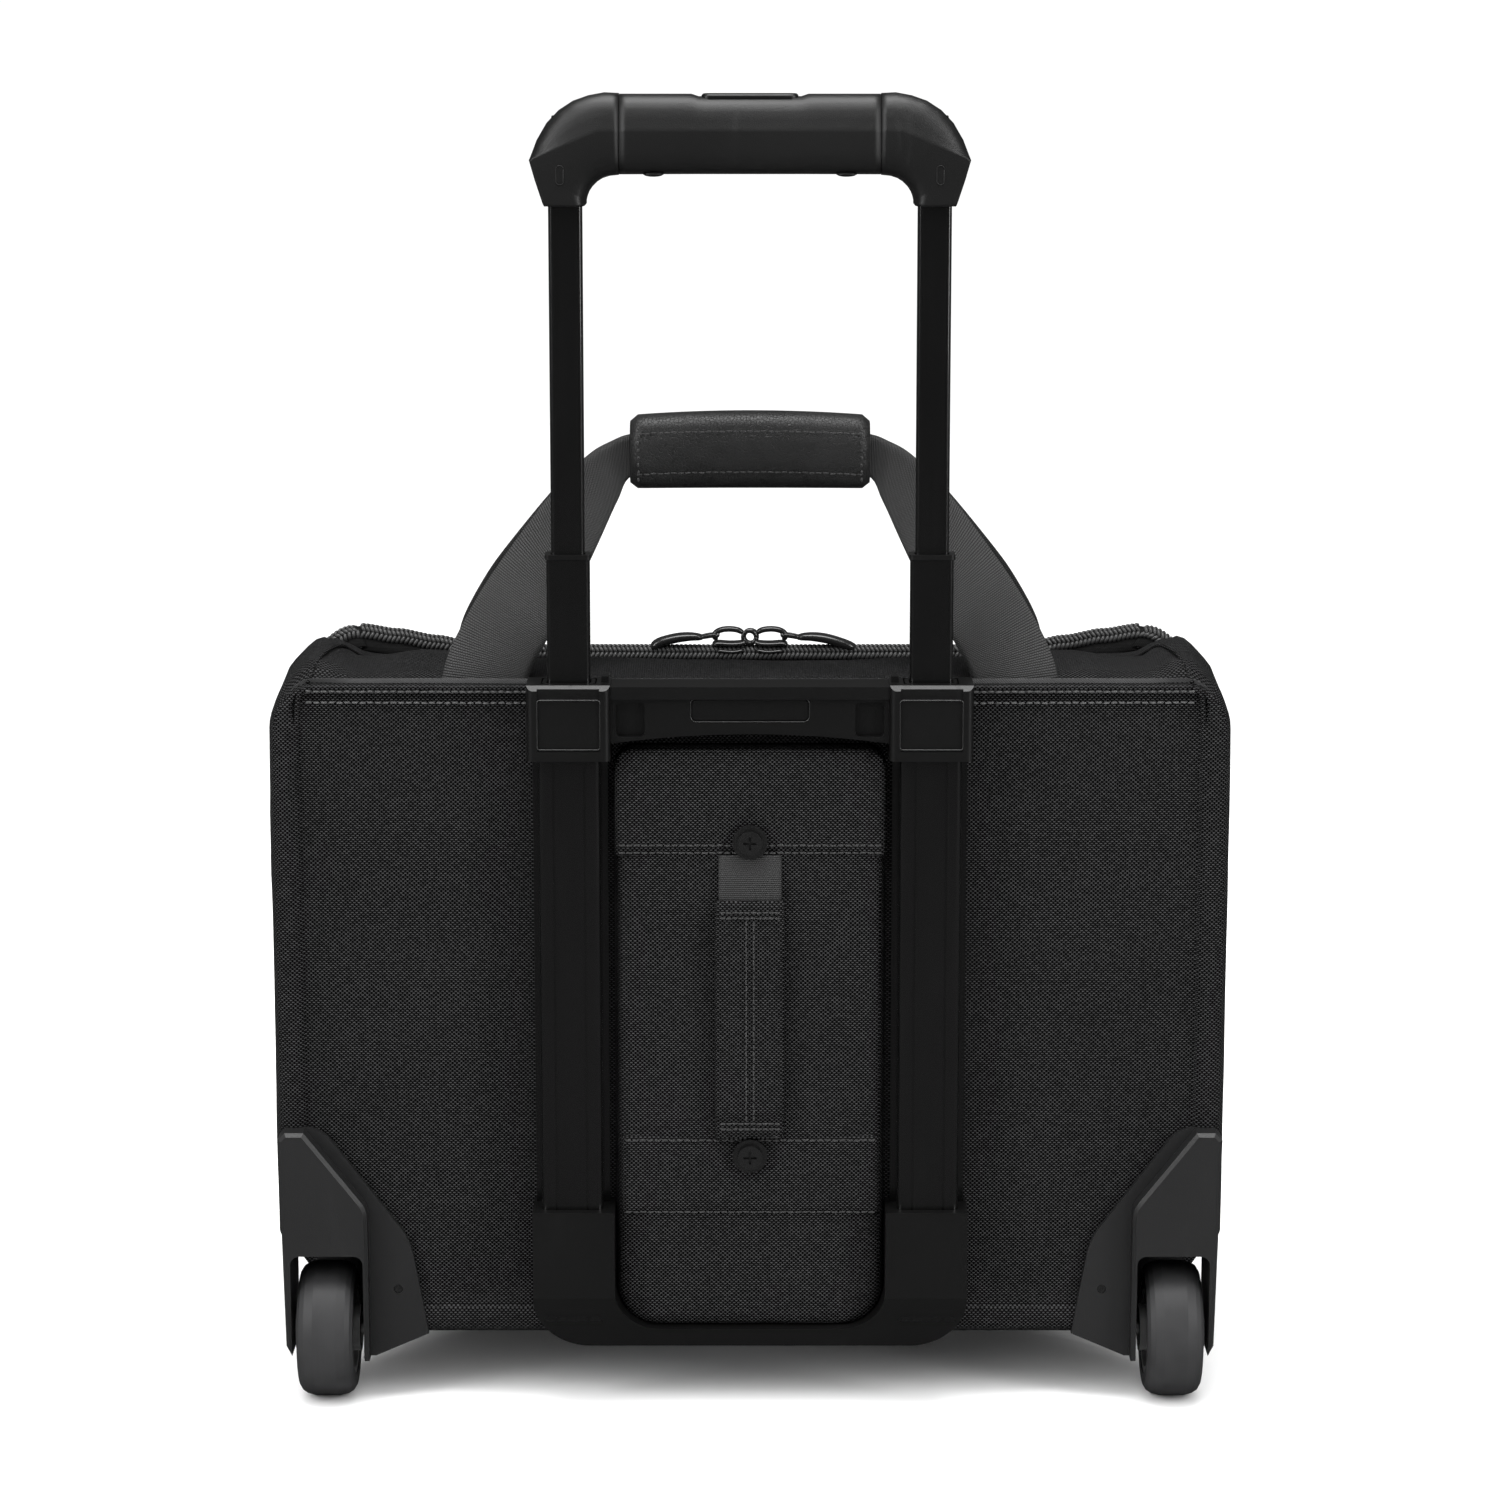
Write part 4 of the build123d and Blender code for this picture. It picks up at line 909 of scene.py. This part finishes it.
for name, half_w, lo, hi, corners in (("spine_flap_top", 57.2, 243.0, 289.4, (1.5, 8.5)),
                                      ("spine_flap_low", 55.0, 85.5, 122.0, (2.0, 1.5))):
    flap = puffed(name, half_w, lo, hi, corners, -97.6, 3.2, M["pad"], sign=-1, crown=0.3, edge=2.5, fold=spine_fold,
                  fine=2.5)
    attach(flap, "case")
pad_threads = Threads()
for z, half_w in ((245.2, 54), (248.4, 54), (87.8, 52), (119.6, 52)):
    pad_threads.row([Vector((lerp(-half_w, half_w, k / 20), -101.2, z)) for k in range(21)], (0, -1, 0))
rear_threads = Threads()
for z, y in ((312.3, -89.2), (307.3, -88.6)):
    for sx in (-1, 1):
        rear_threads.row([Vector((sx * lerp(95, 186, k / 20), y, z - 0.3 * (1 - k / 20))) for k in range(21)],
                         (0, -1, 0.1), radius=0.42)
s1 = pad_threads.make("pad_stitches", M["thread"])
s2 = rear_threads.make("rear_stitches", M["thread_light"])
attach(s1, "case")
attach(s2, "case")


def ribbon(name, centre, width, thick, mat, bow=None, face=(0, -1, 0), edge_cord=0.0, sections=12):
    """Woven band along a path: rounded edges, bowed across if asked, with UVs along and across."""
    fr = []
    pts = [Vector(p) for p in centre]
    length = 0.0
    for i, p in enumerate(pts):
        if i:
            length += (p - pts[i - 1]).length
        t = (pts[min(i + 1, len(pts) - 1)] - pts[max(i - 1, 0)]).normalized()
        f = face(i / (len(pts) - 1)) if callable(face) else Vector(face)
        n = (f - t * f.dot(t)).normalized()
        fr.append((p, t.cross(n), n, length))
    verts, uv = [], []
    ring = 2 * (sections + 1)
    for i, (p, side, n, at) in enumerate(fr):
        s = i / (len(fr) - 1)
        w = width(s) if callable(width) else width
        b = bow(s) if bow else 0.0
        for top in (1, -1):
            order = range(sections + 1) if top > 0 else range(sections, -1, -1)
            for k in order:
                v = 2 * k / sections - 1
                v = math.copysign(abs(v) ** 0.8, v)
                rim = 1 - max(0.0, (abs(v) - 0.86) / 0.14) ** 2 * 0.75
                cord = edge_cord * math.exp(-((abs(v) - 0.93) / 0.05) ** 2)
                h = top * (thick / 2 * rim + cord) + b * (1 - v * v)
                verts.append(p + side * (v * w / 2) + n * h)
                uv.append((at, v * 19.0))
    faces = grid(len(fr), ring, close_cols=True)
    faces.append(tuple(range(ring - 1, -1, -1)))
    faces.append(tuple(range(len(verts) - ring, len(verts))))
    return build(name, verts, faces, mat, uv=uv)


# grab handle: webbing from screw to screw with a padded sleeve
def grab_path(z):
    bow = along(z, ((104, -101.2), (121, -101.4), (135, -104.2), (210, -104.2), (232, -102.6), (244, -100.4)))
    return Vector((0, bow, z))


upper_line = [grab_path(lerp(244, 214, k / 16)) for k in range(17)]
lower_line = [grab_path(lerp(121, 134, k / 10)) for k in range(11)]
upper_web = ribbon("grab_webbing_top", upper_line, 26.5, 1.9, M["webbing"], edge_cord=0.25)
lower_web = ribbon("grab_webbing_low", lower_line, 26.5, 1.9, M["webbing"], edge_cord=0.25)
for web, start, end in ((upper_web, 0.250, 0.236), (lower_web, 0.113, 0.127)):
    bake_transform(web)
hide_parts("grab_strap", "grab_strap_ends")


def sleeve_rings():
    rings = []
    for k in range(41):
        t = k / 40
        z = lerp(121.0, 225.4, t)
        end = min(t, 1 - t) * 40
        k_end = 1 - 0.20 * max(0.0, 1 - end / 2.5) ** 2
        p = grab_path(z)
        ring = []
        for j in range(28):
            a = 2 * math.pi * j / 28
            cx, sy = math.cos(a), math.sin(a)
            x = 14.7 * math.copysign(abs(cx) ** 0.45, cx)
            y = 3.1 * k_end * math.copysign(abs(sy) ** 0.75, sy)
            centre = 0.55 * math.exp(-(x / 1.2) ** 2) if sy < 0 else 0.0
            skew = 0.9 * (x / 14.7) if t < 0.04 else 0.0
            pinch = 0.5 * (math.exp(-((z - 128) / 1.3) ** 2) + math.exp(-((z - 219) / 1.3) ** 2)) if sy < 0 else 0.0
            ring.append(Vector((x, p.y + y + centre + pinch, z + skew)))
        rings.append(ring)
    return rings


sleeve = loft("grab_sleeve_pad", sleeve_rings(), M["pad"])
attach(sleeve, "grab_handle")
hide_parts("grab_sleeve")
grab_threads = Threads()
for z in (127.5, 219.5):
    for dz in (-1.2, 1.2):
        across = [Vector((lerp(-11.5, 11.5, k / 6), -107.3, z + dz)) for k in range(7)]
        grab_threads.row(across, (0, -1, 0), pitch=2.6, length=2.1)
for x in (-1.6, 1.6):
    upright = [Vector((x, -107.4, lerp(131, 216, k / 20))) for k in range(21)]
    grab_threads.row(upright, (0, -1, 0), pitch=2.8, length=2.2, radius=0.3)
g_st = grab_threads.make("grab_stitches", M["thread"])
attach(g_st, "grab_handle")


# ---- carry handle ------------------------------------------------------------------------------------
OUTER = ((132.5, -10), (131.3, -4), (127.5, 12), (117.2, 31.9), (106.3, 48.3), (85.7, 74.8), (69.9, 91), (59.2, 97.4),
         (50, 100.5), (30, 102), (0, 102.5))
INNER = ((95.8, -10), (94.9, -4), (92.8, 4), (87.5, 14.6), (79.0, 29), (71.1, 42.7), (63.7, 57.7), (56.5, 73),
         (50, 83.4), (30, 86), (0, 86.5))


def carry_strap(name, foot_y, top_y, bow_side, node):
    """One webbing strap of the carry handle, foot to foot, bowed where it folds into the wrap."""
    outer = catmull([Vector((x, 0, z)) for x, z in OUTER], 6)
    inner = catmull([Vector((x, 0, z)) for x, z in INNER], 6)
    rows, uv, length = [], [], 0.0
    rise = 102.0
    half = list(zip(outer, inner))
    whole = half + [(Vector((-a.x, 0, a.z)), Vector((-b.x, 0, b.z))) for a, b in half[-2::-1]]
    count = len(whole)
    sections = 14
    verts = []
    prev = None
    for i, (a, b) in enumerate(whole):
        mid = (a + b) / 2
        if prev is not None:
            length += (mid - prev).length
        prev = mid
        chord = (a - b).length
        bow = bow_side * 0.5 * math.sqrt(max(0.0, 38.0 ** 2 - chord ** 2)) * 0.16 * ease(abs(mid.x), 52, 80)
        for top in (1, -1):
            order = range(sections + 1) if top > 0 else range(sections, -1, -1)
            for k in order:
                v = k / sections
                w = 2 * v - 1
                p = b.lerp(a, v)
                rim = 1 - max(0.0, (abs(w) - 0.88) / 0.12) ** 2 * 0.8
                cord = 0.35 * math.exp(-((abs(w) - 0.93) / 0.05) ** 2)
                y = lerp(foot_y, top_y, ease(p.z, -8, 92))
                h = top * (1.15 * rim + cord)
                sag = 1.2 * ease(abs(p.x), 52, 70) * noise.noise(Vector((p.x * 0.03, foot_y, p.z * 0.03)))
                verts.append(Vector((p.x, y + bow * (1 - w * w) + h * -1 + sag, TOP + p.z)))
                uv.append((length, w * 19.0))
    ring = 2 * (sections + 1)
    faces = grid(count, ring, close_cols=True)
    faces.append(tuple(range(ring - 1, -1, -1)))
    faces.append(tuple(range(len(verts) - ring, len(verts))))
    obj = build(name, verts, faces, M["webbing"], uv=uv)
    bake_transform(obj)
    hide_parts(*node)
    return obj


carry_strap("carry_strap_rear", -82.0, -43.0, -1, ["rear_carry_strap"])
carry_strap("carry_strap_front", 22.0, -37.0, 1, ["front_carry_strap", "carry_strap_feet"])


def wrap_rings():
    rings = []
    n = 40
    for k in range(33):
        t = 2 * k / 32 - 1
        x = 51.2 * t
        end = 1 - 0.16 * max(0.0, (abs(t) - 0.93) / 0.07) ** 2
        arch = 2.0 * (1 - t * t)
        ring = []
        for j in range(n):
            a = 2 * math.pi * j / n
            cy, sz = math.cos(a), math.sin(a)
            y = 12.3 * end * math.copysign(abs(cy) ** 0.75, cy)
            half_h = 15.6 * end
            z = half_h * math.copysign(abs(sz) ** 0.8, sz)
            line = 0.0
            for zl in (8.4, -8.8):
                line += 0.55 * math.exp(-((z - zl) / 0.9) ** 2)
            y -= math.copysign(line, cy) if abs(cy) > 0.3 else 0.0
            ring.append(Vector((x, -40 + y, 407.6 + z + arch * (0.55 + 0.45 * sz))))
        rings.append(ring)
    return rings


wrap = loft("grip_wrap_leather", wrap_rings(), M["leather"])
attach(wrap, "carry_handle")
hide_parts("grip_wrap")
wrap_threads = Threads()
for z in (416.6, 399.2):
    for sy, fn in ((-1, -1), (1, 1)):
        wrap_threads.row([Vector((lerp(-47, 47, k / 20), -40 + sy * 12.0, z + 1.1 * (1 - (2 * k / 20 - 1) ** 2)))
                          for k in range(21)], (0, fn, 0), pitch=2.9, length=2.3, radius=0.33)
for sx in (-1, 1):
    wrap_threads.row([Vector((sx * 47.5, -52.2, lerp(397, 419, k / 8))) for k in range(9)], (0, -1, 0), pitch=3.2,
                     length=1.6, radius=0.45)
w_st = wrap_threads.make("wrap_stitches", M["thread"])
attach(w_st, "carry_handle")

# ---- grip --------------------------------------------------------------------------------------------
GRIP_Y = -97.0
GRIP_PAIRS = (((0, 560.4), (0, 529)), ((21, 560.4), (21, 529)), ((24, 561.4), (24, 529)),
              ((53.35, 561.4), (53.35, 528.9)))
ELBOW_PAIRS = (((53.6, 561.7), (53.6, 528.7)), ((59.5, 562.0), (57.4, 528.3)), ((66, 560.8), (60.2, 527.4)),
               ((72.3, 558.6), (62.4, 526.0)), ((78.2, 554.8), (64.4, 524.0)), ((83.2, 549.6), (65.8, 521.9)),
               ((87.2, 542.8), (66.6, 519.9)), ((90.2, 535.0), (67.0, 518.2)), ((87.9, 527.0), (67.0, 517.4)),
               ((84.8, 517.6), (67.0, 516.9)), ((84.2, 516.4), (67.6, 516.2)))
CREASE = ((0.0, 547.0), (62.0, 547.0), (90.2, 535.2))


def crease_share(outer, inner):
    """Where the crease crosses the section from the grip's underside to its top."""
    best = 0.985
    for (x0, z0), (x1, z1) in zip(CREASE, CREASE[1:]):
        dx, dz = outer[0] - inner[0], outer[1] - inner[1]
        ex, ez = x1 - x0, z1 - z0
        det = dx * -ez + ex * dz
        if abs(det) < 1e-6:
            continue
        bx, bz = x0 - inner[0], z0 - inner[1]
        t = (bx * -ez + ex * bz) / det
        u = (dx * bz - dz * bx) / det
        if -0.001 <= u <= 1.001 and 0.1 < t < 1:
            best = min(best, t)
    return best


def grip_section(outer, inner, sign):
    hc = crease_share(outer, inner)
    side = [(0.0, 0.0), (0.0, 3.5), (0.015, 6.5), (0.05, 9.0), (0.10, 10.7), (0.17, 11.6), (0.26, 11.9),
            (0.6 * hc, 12.0), (hc - 0.02, 12.0), (hc + 0.005 * (1 - hc), 11.95)]
    for u, d in ((0.08, 11.6), (0.3, 10.8), (0.55, 9.7), (0.75, 8.3), (0.88, 6.6), (0.96, 4.3), (0.995, 2.0)):
        side.append((hc + (1 - hc) * u, d))
    ring = side + [(1.0, 0.0)] + [(h, -d) for h, d in side[:0:-1]]
    return [Vector((sign * lerp(inner[0], outer[0], h), GRIP_Y - d, lerp(inner[1], outer[1], h))) for h, d in ring]


def spread(pairs, step):
    """More pairs between the given ones."""
    out = []
    for (o0, i0), (o1, i1) in zip(pairs, pairs[1:]):
        n = max(1, int(math.hypot(o1[0] - o0[0], o1[1] - o0[1]) / step))
        out += [((lerp(o0[0], o1[0], k / n), lerp(o0[1], o1[1], k / n)),
                 (lerp(i0[0], i1[0], k / n), lerp(i0[1], i1[1], k / n))) for k in range(n)]
    return out + [pairs[-1]]


cover_half = spread(GRIP_PAIRS, 3.0)
cover_rings = [grip_section(o, i, -1) for o, i in cover_half[:0:-1]] + [grip_section(o, i, 1) for o, i in cover_half]
cover = loft("grip_cover_skin", [r[::-1] for r in cover_rings], M["grip"])
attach(cover, "stage3")
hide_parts("grip_cover")
for side, sign in (("left", -1), ("right", 1)):
    rings = [grip_section(o, i, sign) for o, i in spread(ELBOW_PAIRS, 2.0)]
    elbow = loft(f"grip_elbow_{side}_skin", [r[::-1] for r in rings] if sign > 0 else rings, M["grip"])
    slot_path = [(sign * 77.5 + dx, -109.02, 529.0 + dz) for dx, dz in
                 [(1.5 * math.cos(a), 2.4 * (1 if math.sin(a) > 0 else -1) + 1.5 * math.sin(a))
                  for a in (2 * math.pi * k / 24 + 0.01 for k in range(25))]]
    slot_line = tube(f"grip_slot_{side}", slot_path, 0.28, M["slot"], sides=6)
    for obj in (elbow, slot_line):
        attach(obj, "stage3")
    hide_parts(f"grip_elbow_{side}")
    bump = []
    for k in range(9):
        t = 2 * k / 8 - 1
        r = 2.6 * math.sqrt(max(0.02, 1 - t * t))
        bump.append([Vector((sign * 39.4 + 4.2 * t, GRIP_Y - 7 + r * math.cos(a), 529.2 + 0.42 * r * math.sin(a)))
                     for a in (2 * math.pi * j / 12 for j in range(12))])
    knob = loft(f"grip_bump_{side}", bump, M["grip"])
    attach(knob, "stage3")

# ---- fine lines of the crossbar -----------------------------------------------------------------------
bar_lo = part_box("trolley_top_bracket")[0]
FACE_Y = bar_lo[1] / MM


def lit_face_line(name, half_w, lo, hi, radius, x0, y):
    """Thin raised line round a rectangle on the crossbar's rear face, in the lighter zip_metal colour as a painted
    highlight along the raised edge.
    """
    loop = slab_outline(half_w, lo, hi, radius, n=5, side=6)
    # zip_metal is lighter than the crossbar plastic: painted highlight on the raised line.
    line = tube(name, [Vector((x0 + x, y, z)) for x, z in loop + loop[:1]], 0.32, M["zip_metal"], sides=6, caps=False)
    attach(line, "case")


for side, sign in (("left", -1), ("right", 1)):
    lit_face_line(f"socket_line_{side}", 13.1, 291.0, 312.0, 1.2, sign * 75.7, FACE_Y + 0.1)
badge_lo, badge_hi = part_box("badge_plate")
badge_half_w = (badge_hi[0] - badge_lo[0]) / MM / 2
lit_face_line("badge_rim", badge_half_w + 0.8, badge_lo[2] / MM - 0.8, badge_hi[2] / MM + 0.8, 2.4, 0.0,
          badge_lo[1] / MM - 0.2)

# ---- main zipper's sliders and pullers --------------------------------------------------------------
PIN_X, PIN_Z = 14.5, 314.9


def merged(name, parts, mat, body, *nodes):
    """Several closed skins joined into one piece."""
    verts, faces = [], []
    for obj in parts:
        base = len(verts)
        verts += [v.co / MM for v in obj.data.vertices]
        faces += [tuple(base + i for i in f.vertices) for f in obj.data.polygons]
        bpy.data.objects.remove(obj)
    piece = build(name, verts, faces, mat)
    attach(piece, body)
    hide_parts(*nodes)
    return piece


def bar(points, half_y, half_t, mat):
    """Flat bar along a path in X and Z, wide along Y."""
    rings = []
    pts = catmull([Vector(p) for p in points], 5)
    for i, p in enumerate(pts):
        t = (pts[min(i + 1, len(pts) - 1)] - pts[max(i - 1, 0)]).normalized()
        n = Vector((-t.z, 0, t.x))
        s = i / (len(pts) - 1)
        end = math.sqrt(max(0.05, 1 - max(0.0, abs(2 * s - 1) * 1.12 - 0.12) ** 8))
        wy = half_y(s) if callable(half_y) else half_y
        wt = half_t(s) if callable(half_t) else half_t
        rings.append([p + Vector((0, wy * end * math.copysign(abs(math.cos(a)) ** 0.6, math.cos(a)), 0))
                      + n * (wt * end * math.copysign(abs(math.sin(a)) ** 0.7, math.sin(a)))
                      for a in (2 * math.pi * k / 16 for k in range(16))])
    return loft("bar", rings, mat)


for side, sign in (("left", -1), ("right", 1)):
    ymid = SPLIT + 1.15 * sign
    ring_pts = [(0.2 * sign + 2.9 * math.cos(a), ymid, 313.9 + 2.9 * math.sin(a))
                for a in (2 * math.pi * k / 28 for k in range(29))]
    eye = tube("eye", ring_pts, 1.05, M["zip_metal"], sides=10)
    bail = ((2.6, 315.4), (5.5, 317.0), (9.5, 317.5), (13.2, 317.0), (15.6, 315.6), (15.9, 313.9), (14.6, 312.6))
    deck = ((1.6, 312.4), (4.0, 311.2), (9, 310.9), (14.5, 311.2), (17.0, 310.4))
    shoe = ((2.0, 308.6), (8, 307.6), (16.0, 308.4))
    upper = bar([(sign * x, SPLIT, z) for x, z in bail], 2.4, 1.2, M["zip_metal"])
    lower = bar([(sign * x, SPLIT, z) for x, z in deck], 4.5, 1.0, M["zip_metal"])
    under = bar([(sign * x, SPLIT, z) for x, z in shoe], 5.2, 0.9, M["zip_metal"])
    merged(f"zip_slider_{side}_body", [eye, upper, lower, under], M["zip_metal"], f"slider_{side}",
           f"zip_slider_{side}")
    pin = tube("pin", [(sign * PIN_X, SPLIT - 3.0, PIN_Z), (sign * PIN_X, SPLIT + 3.0, PIN_Z)], 0.85, M["zip_metal"],
               sides=12)
    arms = [bar([(sign * PIN_X, SPLIT + dy, PIN_Z), (sign * (PIN_X + 4), SPLIT + dy, PIN_Z - 0.4),
                 (sign * (PIN_X + 8), SPLIT + dy * 0.8, PIN_Z - 1.2)], 0.7, 0.9, M["zip_metal"]) for dy in (-2.6, 2.6)]
    far = 48.5 if sign > 0 else 44.5
    blade = bar([(sign * x, SPLIT, z) for x, z in ((20.5, 313.6), (27.0, 314.0), (34.0, 313.2), (41.0, 311.2),
                                                   (far, 308.4))],
                lambda s: lerp(3.6, 4.6, ease(s, 0, 0.4)), lambda s: lerp(1.5, 2.0, ease(s, 0, 0.5)), M["zip_metal"])
    merged(f"zip_puller_{side}_blade", [pin, blade] + arms, M["zip_metal"], f"puller_{side}", f"zip_puller_{side}")
